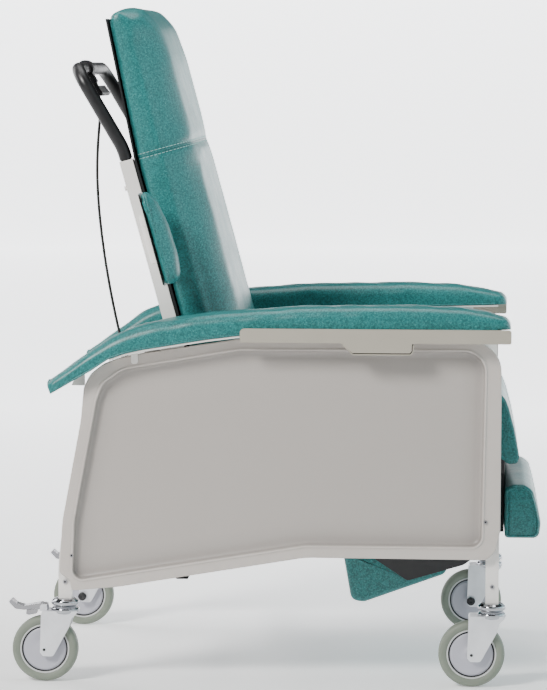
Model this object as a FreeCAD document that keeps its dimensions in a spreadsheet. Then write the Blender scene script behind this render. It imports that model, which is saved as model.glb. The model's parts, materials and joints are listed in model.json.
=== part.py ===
import FreeCAD, Part
import Sketcher
import math
import os

# Recliner on casters. Millimetres, +Z up, +X to the front, +Y to the sitter's left.
# Heights are from the floor. Lengths along X are drawn from the middle of the
# wheelbase and every sub-part is then moved back by origin_shift, so that the
# origin lies under the middle of the whole chair.

V = FreeCAD.Vector
doc = FreeCAD.newDocument("recliner")
sheet = doc.addObject("Spreadsheet::Sheet", "dims")

TABLE = [
    ("origin_shift", 31.5),
    # casters
    ("wheel_radius", 63.5), ("front_swivel_x", 447.0), ("rear_swivel_x", -370.5),
    ("caster_y", 310.0), ("caster_trail", 38.3), ("fork_width", 47.0), ("fork_gap", 41.0),
    ("tyre_bore", 47.05), ("tyre_width", 32.0), ("hub_radius", 47.0), ("hub_bore", 5.05),
    ("axle_radius", 5.0), ("pedal_width", 25.0),
    # side frames and panels
    ("tube_deep", 20.0), ("tube_inner_y", 300.0), ("rim_inner_y", 325.5), ("rim_thick", 10.0),
    ("dish_inner_y", 321.0), ("dish_boss", 4.5), ("dish_depth", 11.5), ("rail_deep", 20.0),
    ("midrail_inner_y", 289.5), ("lowrail_deep", 13.0),
    ("cross_length", 578.6), ("rear_cross_length", 599.4),
    # armrests
    ("pad_inner_y", 268.0), ("pad_width", 97.0), ("board_inner_y", 270.0), ("board_width", 94.5),
    ("rail_inner_y", 366.0), ("rail_thick", 9.0), ("gusset_inner_y", 308.0), ("gusset_thick", 5.0),
    ("clip_inner_y", 335.8), ("clip_thick", 3.6),
    # seat
    ("seat_width", 496.0), ("seat_board_width", 488.0), ("seatrail_inner_y", 250.0),
    ("seatrail_thick", 8.0), ("sidepad_inner_y", 260.0), ("sidepad_thick", 32.0),
    # back
    ("pivot_x", -119.0), ("pivot_z", 490.0), ("back_tilt", 15.51), ("back_width", 490.0),
    ("back_board_width", 484.0), ("upright_length", 547.0), ("back_cross", 434.0),
    ("lever_inner_y", 216.0), ("lever_thick", 8.0), ("pin_radius", 6.0), ("grip_radius", 12.6),
    ("handle_radius", 10.5), ("handle_half", 228.0), ("handle_corner", 42.0),
    ("cable_diameter", 5.6), ("wing_inner_y", 296.0), ("wing_width", 78.0),
    ("wingpad_inner_y", 302.0), ("wingpad_width", 72.0), ("wing_hinge_y", 294.0),
    # leg rest and footrest
    ("leg_x", 430.0), ("leg_z", 520.0), ("leg_arm_y", 216.0), ("leg_arm_thick", 8.0),
    ("leg_pad_width", 470.0), ("leg_board_width", 430.0), ("foot_width", 410.0),
    ("foot_plate_y", 207.0), ("foot_plate_thick", 6.0),
    # linkage
    ("rod_inner_y", 228.0), ("rod_thick", 8.0), ("gas_x", 160.0), ("gas_z", 374.0),
    ("gas_angle", 172.8337), ("gas_eye_width", 22.0), ("gas_head_width", 16.0),
    # release lever
    ("grab_x", -356.1), ("grab_z", 1172.4), ("grab_tilt", 30.4),
]
D = {}
for row, (alias, value) in enumerate(TABLE, start=1):
    sheet.set("A%d" % row, alias)
    sheet.set("B%d" % row, "%.4f" % value)
    sheet.setAlias("B%d" % row, alias)
    D[alias] = value
doc.recompute()

OUT = []          # objects that are written, in order


# ---------------------------------------------------------------- helpers
def rounded(points, closed=True):
    """Lines joined by tangent arcs through (x, z) or (x, z, r) points."""
    n = len(points)
    pts = [V(p[0], p[1], 0) for p in points]
    rad = [p[2] if len(p) > 2 else 0.0 for p in points]
    ins, outs, mids = [], [], []
    for i in range(n):
        ends = (not closed) and i in (0, n - 1)
        p = pts[i]
        if rad[i] <= 0 or ends:
            ins.append(p); outs.append(p); mids.append(None)
            continue
        a = (pts[i - 1] - p); b = (pts[(i + 1) % n] - p)
        la, lb = a.Length, b.Length
        a.normalize(); b.normalize()
        ang = math.acos(max(-1.0, min(1.0, a.dot(b))))
        if abs(ang - math.pi) < 1e-4:
            ins.append(p); outs.append(p); mids.append(None)
            continue
        r = rad[i]
        t = r / math.tan(ang / 2)
        lim = 0.47 * min(la, lb)
        if t > lim:
            t = lim
            r = t * math.tan(ang / 2)
        bis = (a + b); bis.normalize()
        c = p + bis * (r / math.sin(ang / 2))
        ins.append(p + a * t); outs.append(p + b * t); mids.append(c - bis * r)
    geo = []
    for i in range(n):
        if mids[i] is not None:
            geo.append(Part.Arc(ins[i], mids[i], outs[i]))
        if closed or i < n - 1:
            j = (i + 1) % n
            if (ins[j] - outs[i]).Length > 1e-6:
                geo.append(Part.LineSegment(outs[i], ins[j]))
    return geo


def rect(x0, x1, z0, z1):
    return rounded([(x0, z0), (x1, z0), (x1, z1), (x0, z1)])


def circle(x, z, r):
    return [Part.Circle(V(x, z, 0), V(0, 0, 1), r)]


def new_body(name):
    b = doc.addObject("PartDesign::Body", name)
    b.Label = name
    if hasattr(b, "AllowCompound"):
        b.AllowCompound = True
    return b


def sketch(b, role, geo, off=None):
    s = b.newObject("Sketcher::SketchObject", b.Name + "_sketch")
    pl = [f for f in b.Origin.OriginFeatures if f.Role == role][0]
    s.AttachmentSupport = [(pl, "")]
    s.MapMode = "FlatFace"
    for g in geo:
        s.addGeometry(g, False)
    if off is not None:
        s.setExpression("AttachmentOffset.Base.z", str(off))
    return s


def pad(b, s, length, sym=False):
    f = b.newObject("PartDesign::Pad", b.Name + "_pad")
    f.Profile = s
    f.setExpression("Length", str(length))
    if sym:
        f.SideType = "Symmetric"
    return f


def pocket(b, s, length, sym=False):
    doc.recompute()
    before = b.Shape.Volume
    f = b.newObject("PartDesign::Pocket", b.Name + "_pocket")
    f.Profile = s
    f.setExpression("Length", str(length))
    if sym:
        f.SideType = "Symmetric"
    doc.recompute()
    if b.Shape.Volume > before - 1e-3:
        raise RuntimeError("pocket removed nothing in " + b.Label)
    return f


def revolve(b, s, axis):
    f = b.newObject("PartDesign::Revolution", b.Name + "_rev")
    f.Profile = s
    f.ReferenceAxis = (s, [axis])
    f.Angle = 360
    return f


def fillet(b, feature, radius, test):
    doc.recompute()
    names = ["Edge%d" % (i + 1) for i, e in enumerate(feature.Shape.Edges) if test(e)]
    f = b.newObject("PartDesign::Fillet", b.Name + "_fillet")
    f.Base = (feature, names)
    f.Radius = radius
    doc.recompute()
    return f


def shift(obj, x="0", y="0", z="0", axis=None, angle=None):
    """Place an object; x is in wheelbase coordinates."""
    if axis is not None:
        obj.Placement = FreeCAD.Placement(V(0, 0, 0), FreeCAD.Rotation(axis, 10.0))
        obj.setExpression("Placement.Rotation.Angle", angle)
    obj.setExpression("Placement.Base.x", "%s - dims.origin_shift" % x)
    if y != "0":
        obj.setExpression("Placement.Base.y", y)
    if z != "0":
        obj.setExpression("Placement.Base.z", z)
    return obj


def keep(obj, name=None):
    if name:
        obj.Label = name
    OUT.append(obj)
    return obj


def mirrored(obj, name):
    m = doc.addObject("Part::Mirroring", name)
    m.Source = obj
    m.Base = V(0, 0, 0)
    m.Normal = V(0, 1, 0)
    m.Label = name
    return m


def pair(obj, stem):
    """Right piece as built, left piece as its mirror."""
    keep(obj, stem + "_right")
    keep(mirrored(obj, stem + "_left"))


def group(name, links):
    c = doc.addObject("Part::Compound", name)
    c.Links = links
    c.Label = name
    return keep(c)


def cyl_y(name, x, z, r, y0, y1):
    """Round bar along Y."""
    c = doc.addObject("Part::Cylinder", name)
    c.setExpression("Radius", str(r))
    c.Height = abs(y1 - y0)
    c.Placement = FreeCAD.Placement(V(x - D["origin_shift"], max(y0, y1), z),
                                    FreeCAD.Rotation(V(1, 0, 0), 90))
    c.setExpression("Placement.Base.x", "%.4f - dims.origin_shift" % x)
    return c


BACK_AXIS = V(0, -1, 0)
TILT = math.radians(D["back_tilt"])


def back_place(obj):
    return shift(obj, "dims.pivot_x", "0", "dims.pivot_z", BACK_AXIS, "dims.back_tilt")


def back_local(x, z):
    """Wheelbase X, Z to the back's own x, z (z along the uprights)."""
    dx, dz = x - D["pivot_x"], z - D["pivot_z"]
    return (dx * math.cos(TILT) + dz * math.sin(TILT), -dx * math.sin(TILT) + dz * math.cos(TILT))


def back_world(x, z):
    return (D["pivot_x"] + x * math.cos(TILT) - z * math.sin(TILT),
            D["pivot_z"] + x * math.sin(TILT) + z * math.cos(TILT))


# ---------------------------------------------------------------- side panels
OUTLINE = [(-356, 178.5, 5), (-263, 187.5, 150), (91, 247.3, 150), (436, 246.5, 12), (453, 264, 18),
           (461.5, 303, 30), (461.5, 661, 56), (200, 664, 60), (-33, 664.5, 80), (-217, 635.5, 60),
           (-264, 626, 60), (-293, 615, 45), (-318, 596, 45), (-331, 570, 25), (-337, 506, 120), (-373, 313, 150), (-379, 213, 4),
           (-358.5, 199, 3)]
DISH = [(-331, 211, 8), (91, 274, 120), (423, 274.5, 14), (428, 640, 36), (-34, 638.5, 60),
        (-255, 600, 40), (-292, 574, 30), (-303, 545, 60), (-346, 314, 120), (-350, 232, 12)]
DISH_OUT = [(-335, 207, 8), (91, 270, 120), (426, 270.5, 14), (432, 643.5, 39), (-34, 642, 60),
            (-256, 603.5, 43), (-296, 577, 33), (-307, 545, 60), (-350, 314, 120), (-354, 230, 12)]
b = new_body("side_panel_right")
pad(b, sketch(b, "XZ_Plane", rounded(OUTLINE), "dims.rim_inner_y"), "dims.rim_thick")
pad(b, sketch(b, "XZ_Plane", rounded(DISH_OUT), "dims.dish_inner_y"), "dims.dish_boss + 0.5")
p = pocket(b, sketch(b, "XZ_Plane", rounded(DISH), "dims.rim_inner_y + dims.rim_thick"), "dims.dish_depth")
face_y = -(D["rim_inner_y"] + D["rim_thick"])
fillet(b, p, 2.6, lambda e: all(abs(v.Y - face_y) < 1e-3 for v in e.Vertexes))
shift(b)
pair(b, "side_panel")

# ---------------------------------------------------------------- side frames
PATH = [(447, 161), (447, 638, 46), (-33, 644.5, 120), (-272, 602, 60), (-316, 563, 46), (-325, 506, 200),
        (-360.5, 313, 300), (-370, 225, 300), (-370, 161)]
b = new_body("side_frame_right")
sp = sketch(b, "XZ_Plane", rounded(PATH, closed=False))
sec = []
for hx, hy in ((12.5, 10.0), (10.5, 8.0)):
    sec += rounded([(447 - hx, -hy - 310), (447 + hx, -hy - 310), (447 + hx, hy - 310), (447 - hx, hy - 310)])
sk = sketch(b, "XY_Plane", sec, "161")
sp.setExpression("AttachmentOffset.Base.z", "dims.tube_inner_y + dims.tube_deep / 2")
pipe = b.newObject("PartDesign::AdditivePipe", "side_frame_pipe")
pipe.Profile = sk
pipe.Spine = (sp, [])
doc.recompute()
pad(b, sketch(b, "XZ_Plane", rect(-345.5, 435.5, 330.5, 355.5), "dims.midrail_inner_y"), "dims.rail_deep")
pad(b, sketch(b, "XZ_Plane", rounded([(-358.5, 188), (-263, 192), (91, 252), (436, 252), (436, 268), (91, 268),
                                      (-263, 208), (-358.5, 204)]), "dims.tube_inner_y"), "dims.lowrail_deep")
shift(b)
pair(b, "side_frame")


def tube_across(name, x, z, half, wall, length):
    t = new_body(name)
    pad(t, sketch(t, "XZ_Plane", rounded([(x - half, z - half, 3), (x + half, z - half, 3), (x + half, z + half, 3),
                                          (x - half, z + half, 3)])
                  + rounded([(x - half + wall, z - half + wall), (x + half - wall, z - half + wall),
                             (x + half - wall, z + half - wall), (x - half + wall, z + half - wall)])),
        length, sym=True)
    shift(t)
    return keep(t)


tube_across("front_cross_tube", 330.0, 343.0, 12.5, 2.0, "dims.cross_length")
tube_across("middle_cross_tube", 120.0, 343.0, 12.5, 2.0, "dims.cross_length")
tube_across("rear_cross_tube", -146.5, 210.5, 12.5, 2.0, "dims.rear_cross_length")

# ---------------------------------------------------------------- armrests
PAD_TOP = [(478.5, 696, 6), (472, 704, 14), (434, 713, 120), (380, 721.5, 200), (269, 725, 300), (80, 721.5, 300), (-88, 709, 300),
           (-178, 695, 200), (-226, 684, 120), (-283, 660, 120), (-348, 613, 120), (-399, 576, 8)]
PAD_LOW = [(-392, 558.5, 5), (-353, 581.5, 100), (-315, 603, 100), (-281, 626, 60), (-250, 637, 60),
           (-217, 644.5, 120), (-97, 664.5, 200), (-31, 673, 200), (477.5, 687.3, 3)]
b = new_body("armrest_pad_right")
pad(b, sketch(b, "XZ_Plane", rounded(PAD_TOP + PAD_LOW), "dims.pad_inner_y"), "dims.pad_width")
shift(b)
pair(b, "armrest_pad")

low = [(-279, 626.4)] + [(x, z - 0.3, r) for x, z, r in PAD_LOW[4:-1]] + [(460, 686.5)]
under = [(460, 682.9)] + [(x, z - 3.9, r) for x, z, r in PAD_LOW[4:-1]][::-1] + [(-279, 622.8)]
b = new_body("armrest_board")
pad(b, sketch(b, "XZ_Plane", rounded(low + under), "dims.board_inner_y"), "dims.board_width")
shift(b)
group("armrest_boards", [b, mirrored(b, "armrest_board_mirror")])

b = new_body("tray_rail_right")
pad(b, sketch(b, "XZ_Plane", rounded([(-31, 661, 5), (160, 661, 6), (181, 642.8, 3), (290, 642.8, 3), (293, 661, 2),
                                      (479, 661, 4), (479, 687, 5), (-31, 687, 8)]), "dims.rail_inner_y"),
    "dims.rail_thick")
shift(b)
pair(b, "tray_rail")

b = new_body("tail_gusset")
pad(b, sketch(b, "XZ_Plane", rounded([(-358, 571, 2), (-331.5, 571, 2), (-331.5, 593, 2), (-352, 581.3, 2)]),
              "dims.gusset_inner_y"), "dims.gusset_thick")
shift(b)
c = new_body("pad_clip")
pad(c, sketch(c, "XZ_Plane", rounded([(-240, 615, 5), (-227, 616, 5), (-227, 634, 1), (-240, 632.5, 1)]),
              "dims.clip_inner_y"), "dims.clip_thick")
shift(c)
# spacers between the frame's top tube and the board
posts = []
for i, (x, z0, z1) in enumerate([(395, 651.8, 680.3), (40, 656.6, 670.3), (-200, 630.4, 640.6)]):
    s = new_body("armrest_spacer%d" % i)
    pad(s, sketch(s, "XZ_Plane", rect(x - 14, x + 14, z0, z1), "302"), "16")
    shift(s)
    posts += [s, mirrored(s, "armrest_spacer_mirror%d" % i)]
group("armrest_brackets", [b, c, mirrored(b, "tail_gusset_mirror"), mirrored(c, "pad_clip_mirror")] + posts)

# ---------------------------------------------------------------- seat
b = new_body("seat_rail")
pad(b, sketch(b, "XZ_Plane", rounded([(-137, 474, 14), (-137, 508, 16), (-101, 508, 16), (-70, 470, 20), (27, 432, 20),
                                      (378, 494, 20), (412, 538, 16), (448, 538, 16), (448, 502, 16), (395, 468, 20),
                                      (346, 458, 10), (346, 356.2, 3), (314, 356.2, 3), (310, 438, 20), (140, 406, 20),
                                      (136, 356.2, 3), (104, 356.2, 3), (98, 396, 20), (20, 386, 20), (-80, 446, 30)])
              + circle(D["pivot_x"], D["pivot_z"], D["pin_radius"] + 0.05)
              + circle(D["leg_x"], D["leg_z"], D["pin_radius"] + 0.05), "dims.seatrail_inner_y"), "dims.seatrail_thick")
shift(b)
group("seat_rails", [b, mirrored(b, "seat_rail_mirror")])
b = new_body("seat_board")
pad(b, sketch(b, "XZ_Plane", rounded([(27, 413), (378, 475), (378, 487), (27, 425)])), "dims.seat_board_width", sym=True)
shift(b); keep(b)
b = new_body("seat_cushion")
pad(b, sketch(b, "XZ_Plane", rounded([(27, 425.6, 6), (378, 487.6, 6), (378, 570, 18), (27, 508, 14)])),
    "dims.seat_width", sym=True)
shift(b); keep(b)
b = new_body("inner_side_pad_right")
pad(b, sketch(b, "XZ_Plane", rounded([(-70, 455, 15), (400, 536, 15), (420, 560, 20), (420, 648, 20), (-70, 640, 20)]),
              "dims.sidepad_inner_y"), "dims.sidepad_thick")
shift(b)
pair(b, "inner_side_pad")

# ---------------------------------------------------------------- pins and screws
PX, PZ, LX, LZ = D["pivot_x"], D["pivot_z"], D["leg_x"], D["leg_z"]
pins = []
for side in (-1, 1):
    pins.append(cyl_y("back_pin%d" % (side + 2), PX, PZ, "dims.pin_radius", side * 213.0, side * 259.0))
    pins.append(cyl_y("leg_pin%d" % (side + 2), LX, LZ, "dims.pin_radius", side * 214.5, side * 259.0))
pins.append(cyl_y("gas_pin", D["gas_x"], D["gas_z"], 5.0, -24.0, 24.0))
group("pivot_pins", pins)
screws = []
for i, (x, z, y0, r) in enumerate([(-355, 246.8, 335.6, 3.4), (433.5, 319.6, 335.6, 3.4), (447, 193.5, 320.1, 4.2),
                                   (-369.5, 193.5, 320.1, 4.2)]):
    for side in (-1, 1):
        s = cyl_y("screw%d%d" % (i, side + 2), x, z, r, side * y0, side * (y0 + 2.2))
        screws.append(s)
group("panel_screws", screws)

# gas spring bracket: two ears on the middle cross tube
b = new_body("gas_spring_bracket")
ear = rounded([(108, 356, 2), (150, 356, 6), (172, 368, 8), (172, 388, 10), (148, 388, 10), (108, 366, 4)]) \
    + circle(D["gas_x"], D["gas_z"], 5.05)
pad(b, sketch(b, "XZ_Plane", ear, "16"), "5")
pad(b, sketch(b, "XZ_Plane", ear, "-21"), "5")
pad(b, sketch(b, "XZ_Plane", rect(108, 132.5, 355.7, 358.7)), "42", sym=True)
shift(b); keep(b)

# ---------------------------------------------------------------- casters
stem = new_body("caster_stem")
revolve(stem, sketch(stem, "XZ_Plane", rounded([(0, 130.8), (9.5, 130.8), (9.5, 146.6), (21, 146.6, 2), (26.6, 150, 4),
                                                (26.6, 156, 4), (21, 160.8, 2), (7.8, 160.8), (7.8, 216), (0, 216)])), "V_Axis")
SPOTS = [("front_right", "dims.front_swivel_x", -1), ("front_left", "dims.front_swivel_x", 1),
         ("rear_right", "dims.rear_swivel_x", -1), ("rear_left", "dims.rear_swivel_x", 1)]


def caster_copy(name, links, xexpr, side):
    c = doc.addObject("Part::Compound", name)
    c.Links = links
    c.Label = name
    shift(c, xexpr, "%d * dims.caster_y" % side)
    return c


group("caster_stems", [caster_copy("stem_" + n, [stem], x, s) for n, x, s in SPOTS])

FORK = [(-44, 138, 4), (-46.6, 58, 6), (-41, 50.5, 6), (-22, 50.5, 6), (-17.5, 57, 8), (10, 108, 10), (15, 124, 8),
        (24, 134, 4), (24, 138, 1)]


def make_fork(name, lugs):
    f = new_body(name)
    pad(f, sketch(f, "XZ_Plane", rounded(FORK)), "dims.fork_width", sym=True)
    pocket(f, sketch(f, "XZ_Plane", rounded([(-60, 40), (40, 40), (40, 134.2), (-60, 134.2)])), "dims.fork_gap", sym=True)
    pocket(f, sketch(f, "XZ_Plane", circle(-D["caster_trail"], D["wheel_radius"], D["axle_radius"] + 0.04)), "60", sym=True)
    if lugs:
        for off in (13.2, -16.2):
            pad(f, sketch(f, "XZ_Plane", rounded([(-48, 137, 1), (-33, 137, 1), (-34, 150, 5), (-46, 150, 5)])
                          + circle(-40, 144.5, 2.55), str(off)), "3")
    revolve(f, sketch(f, "XZ_Plane", rounded([(9.55, 131), (21, 131, 2), (27, 134.5, 4), (27, 141.5, 4), (21, 145.8, 2),
                                              (9.55, 145.8)])), "V_Axis")
    pocket(f, sketch(f, "XY_Plane", circle(0, 0, 9.55), "170"), "60")
    return f


fork_plain = make_fork("fork_plain", False)
fork_lug = make_fork("fork_lug", True)
axles = {}
for side, name in ((-1, "axle_bolt_right"), (1, "axle_bolt_left")):
    # rivet end outside, nut inside
    axle = new_body(name)
    revolve(axle, sketch(axle, "YZ_Plane", rounded([(side * 24.6, 0), (side * 24.6, 4.2), (side * 23.8, 5), (side * -23.8, 5), (side * -23.8, 7.6),
                                                    (side * -29, 7.2), (side * -29, 0)])), "H_Axis")
    axle.setExpression("Placement.Base.x", "-dims.caster_trail")
    axle.setExpression("Placement.Base.z", "dims.wheel_radius")
    axles[side] = axle
lugpin = doc.addObject("Part::Cylinder", "pedal_pin")
lugpin.Radius = 2.5
lugpin.Height = 34
lugpin.Placement = FreeCAD.Placement(V(-40, 17, 144.5), FreeCAD.Rotation(V(1, 0, 0), 90))
hub = new_body("hub")
revolve(hub, sketch(hub, "YZ_Plane", rounded([(-19, 5.05), (19, 5.05), (19, 12, 1), (11, 14, 2), (9, 40, 2), (13, 42.5, 1),
                                              (13, 47), (-13, 47), (-13, 42.5, 1), (-9, 40, 2), (-11, 14, 2), (-19, 12, 1)])),
        "H_Axis")
tyre = new_body("tyre")
revolve(tyre, sketch(tyre, "YZ_Plane", rounded([(-13.6, 47.05, 1), (13.6, 47.05, 1), (16, 54, 5), (13, 63.5, 9), (-13, 63.5, 9),
                                                (-16, 54, 5)])), "H_Axis")
for w in (hub, tyre):
    w.setExpression("Placement.Base.x", "-dims.caster_trail")
    w.setExpression("Placement.Base.z", "dims.wheel_radius")
for n, x, s in SPOTS:
    rear = n.startswith("rear")
    keep(caster_copy("caster_fork_" + n, [fork_lug, axles[s], lugpin] if rear else [fork_plain, axles[s]], x, s))
for n, x, s in SPOTS:
    keep(caster_copy("caster_hub_" + n, [hub], x, s))
for n, x, s in SPOTS:
    keep(caster_copy("caster_tyre_" + n, [tyre], x, s))

pedal = new_body("pedal")
pad(pedal, sketch(pedal, "XZ_Plane", rounded([(-36, 141, 3), (-36, 148.5, 4), (-46, 152, 4), (-78, 146.2, 6), (-92, 150, 8),
                                              (-103, 159.5, 3), (-108, 153.5, 3), (-95, 140, 8), (-78, 138.2, 6),
                                              (-60, 140.5, 3), (-46, 139.3, 3)])
              + circle(-40, 144.5, 2.55)), "dims.pedal_width", sym=True)
shoe = new_body("brake_shoe")
pad(shoe, sketch(shoe, "XZ_Plane", rounded([(-52, 139.2), (-74, 137.6), (-75, 129, 2), (-68, 128.2, 2), (-54, 131, 2)])), "20", sym=True)
for n, x, s in SPOTS[2:]:
    keep(caster_copy("brake_pedal_" + n.split("_")[1], [pedal, shoe], x, s))

# ---------------------------------------------------------------- back
a_loc = back_local(-168.593, 353.745)         # connecting rod pin on the lever
g_loc = back_local(-164.043, 417.916)         # gas spring pin on the clevis
bar = (-88.0, -49.0)                          # lower bar between the levers
b = new_body("back_frame")
sec = []
for side in (-1, 1):
    y = side * D["handle_half"]
    sec += rounded([(-13, y - 13), (13, y - 13), (13, y + 13), (-13, y + 13)])
    sec += rounded([(-11, y - 11), (11, y - 11), (11, y + 11), (-11, y + 11)])
pad(b, sketch(b, "XY_Plane", sec, "-20"), "dims.upright_length")
for z in (70.0, 300.0, 512.0):
    pad(b, sketch(b, "XZ_Plane", rounded([(-11, z - 11), (11, z - 11), (11, z + 11), (-11, z + 11)])
                  + rounded([(-9, z - 9), (9, z - 9), (9, z + 9), (-9, z + 9)])), "dims.back_cross", sym=True)
LEVER = [(12, 40, 4), (12, -16, 10), (-68, -132, 12), (-99, -124, 12), (-104, -44, 12), (-80, -32, 14), (-12, 12, 8), (-12, 40, 4)]
for off in ("dims.lever_inner_y", "-dims.lever_inner_y - dims.lever_thick"):
    pad(b, sketch(b, "XZ_Plane", rounded(LEVER), off), "dims.lever_thick")
pad(b, sketch(b, "XZ_Plane", circle(bar[0], bar[1], 10.0)), "dims.back_cross", sym=True)
CLEVIS = [(-92, -60, 3), (-92, -40, 3), (-66, -46, 8), (-52, -57, 9), (-66, -69, 9)]
for off in ("10", "-15"):
    pad(b, sketch(b, "XZ_Plane", rounded(CLEVIS), off), "5")
pad(b, sketch(b, "XZ_Plane", circle(g_loc[0], g_loc[1], 4.0)), "32", sym=True)
pad(b, sketch(b, "XZ_Plane", rounded([(-95, -48), (-81, -48), (-81, -26, 2), (-95, -26, 2)]), "16"), "14")
for off in ("dims.lever_inner_y", "-dims.lever_inner_y - 23"):
    pad(b, sketch(b, "XZ_Plane", circle(a_loc[0], a_loc[1], 5.0), off), "23")
pocket(b, sketch(b, "XZ_Plane", circle(0, 0, D["pin_radius"] + 0.05)), "500", sym=True)
back_place(b); keep(b)

b = new_body("back_board")
pad(b, sketch(b, "XZ_Plane", rounded([(16.2, 84), (19.6, 84), (19.6, 524, 60), (38.2, 797), (34.8, 797.4), (16.2, 524, 60)])),
    "dims.back_board_width", sym=True)
back_place(b); keep(b)

R = 125.0
a38 = math.radians(38)
tail = [V(R, 0, 0), V(R * math.cos(a38 / 2), -R * math.sin(a38 / 2), 0), V(R * math.cos(a38), -R * math.sin(a38), 0)]
b = new_body("back_cushion")
geo = [Part.LineSegment(V(20.8, 525, 0), V(R, 527, 0)), Part.LineSegment(V(R, 527, 0), tail[0]), Part.Arc(tail[0], tail[1], tail[2]),
       Part.LineSegment(tail[2], V(20.8, -40, 0)), Part.LineSegment(V(20.8, -40, 0), V(20.8, 525, 0))]
pad(b, sketch(b, "XZ_Plane", geo), "dims.back_width", sym=True)
back_place(b); keep(b)
b = new_body("headrest_cushion")
pad(b, sketch(b, "XZ_Plane", rounded([(21.5, 526.5), (R, 528.5), (R + 2, 695, 60), (123, 758, 60), (101, 804, 45), (70, 818, 38), (40.2, 805, 6)])),
    "dims.back_width", sym=True)
back_place(b); keep(b)


def bent_path(points, radii):
    """Straight runs joined by tangent arcs through 3-D points."""
    edges = []
    last = V(*points[0])
    for i in range(1, len(points) - 1):
        p = V(*points[i])
        u = V(*points[i - 1]) - p; u.normalize()
        w = V(*points[i + 1]) - p; w.normalize()
        ang = math.acos(max(-1, min(1, u.dot(w))))
        t = radii[i] / math.tan(ang / 2)
        bis = u + w; bis.normalize()
        mid = p + bis * (radii[i] / math.sin(ang / 2) - radii[i])
        e0, e1 = p + u * t, p + w * t
        if (e0 - last).Length > 1e-6:
            edges.append(Part.LineSegment(last, e0).toShape())
        edges.append(Part.Arc(e0, mid, e1).toShape())
        last = e1
    edges.append(Part.LineSegment(last, V(*points[-1])).toShape())
    return Part.Wire(edges)


def round_tube(wire, radius):
    e = wire.Edges[0]
    start = e.valueAt(e.FirstParameter)
    prof = Part.Wire([Part.Circle(start, e.tangentAt(e.FirstParameter), radius).toShape()])
    s = wire.makePipeShell([prof], True, True)
    return s if s.ShapeType == "Solid" else Part.Solid(s.Shells[0])


def bent_piece(name, shape, in_back):
    f = doc.addObject("Part::Feature", name)
    f.Label = name
    f.Shape = shape
    if in_back:
        back_place(f)
    else:
        shift(f)
    return keep(f)


HH = D["handle_half"]
grip_pts = [(0, -HH, 529), (0, -HH, 550), (-46, -HH, 721), (-46, HH, 721), (0, HH, 550), (0, HH, 529)]
core_pts = [(0, -HH, 485)] + grip_pts[1:5] + [(0, HH, 485)]
radii = [0, 110, D["handle_corner"], D["handle_corner"], 110, 0]
bent_piece("push_handle", round_tube(bent_path(core_pts, radii), D["handle_radius"]), True)
sleeve = round_tube(bent_path(grip_pts, radii), D["grip_radius"]).cut(round_tube(bent_path(core_pts, radii), D["handle_radius"] + 0.05))
bent_piece("handle_grip", sleeve.Solids[0], True)


def grab_place(obj):
    return shift(obj, "dims.grab_x", "0", "dims.grab_z", BACK_AXIS, "dims.grab_tilt")


b = new_body("lever_bracket")
pad(b, sketch(b, "XZ_Plane", rounded([(-8, -8, 2), (-8, -34, 4), (8, -34, 4), (8, -8, 2)]), "62"), "28")
pad(b, sketch(b, "XZ_Plane", circle(0, 0, 17.0), "62"), "28")
pocket(b, sketch(b, "XZ_Plane", circle(0, 0, D["grip_radius"] + 0.05), "100"), "60")
pocket(b, sketch(b, "XZ_Plane", rounded([(-12, -40), (12, -40), (12, -20), (-12, -20)]), "84"), "16")
pad(b, sketch(b, "XZ_Plane", circle(0, -27.5, 3.0), "64"), "24")
pad(b, sketch(b, "XY_Plane", circle(0, -94, 5.0), "-34"), "20.8")
pad(b, sketch(b, "XY_Plane", rounded([(-5, -94), (5, -94), (5, -88), (-5, -88)]), "-34"), "20.8")
grab_place(b); keep(b)
b = new_body("release_lever")
pad(b, sketch(b, "XZ_Plane", rounded([(-5.5, -22, 5), (5.5, -22, 5), (5.5, -34, 3), (4, -46, 2), (-4, -46, 2), (-5.5, -34, 3)])
              + circle(0, -27.5, 3.05), "68.3"), "15.4")
pad(b, sketch(b, "XZ_Plane", rounded([(-4, -40, 2), (4, -40, 2), (6, -60, 3), (-1, -63, 3), (-4, -52, 3)]), "-46"), "129.7")
grab_place(b); keep(b)

# control cable, from the bracket's outlet to the stop on the lower bar
CABLE = [(-338.9, -94, 1143.1), (-325.5, -94, 1120), (-326, -94, 1078), (-331, -93, 1022), (-332.5, -92, 962),
         (-329.5, -89, 900), (-323.5, -83, 838), (-314.5, -75, 770), (-303.5, -66, 705), (-290.5, -56, 640),
         (-272.5, -46, 580), (-248.5, -37, 528), (-222, -30, 490), (-204.5, -25, 466), (-197.3, -23, 443.4)]


def cord_radii(points, share=0.45):
    out = [0.0]
    for i in range(1, len(points) - 1):
        a = V(*points[i]) - V(*points[i - 1]); c = V(*points[i + 1]) - V(*points[i])
        turn = math.acos(max(-1, min(1, a.dot(c) / a.Length / c.Length)))
        out.append(share * min(a.Length, c.Length) / math.tan(turn / 2))
    return out + [0.0]


rr = cord_radii(CABLE)
print("cable radii", ["%.0f" % r for r in rr[1:-1]])
wire = bent_path(CABLE, rr)
cable = round_tube(wire, D["cable_diameter"] / 2)
print("cable length %.1f, volume ratio %.4f" % (wire.Length, cable.Volume / (wire.Length * math.pi * (D["cable_diameter"] / 2) ** 2)))
bent_piece("release_cable", cable, False)

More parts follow.
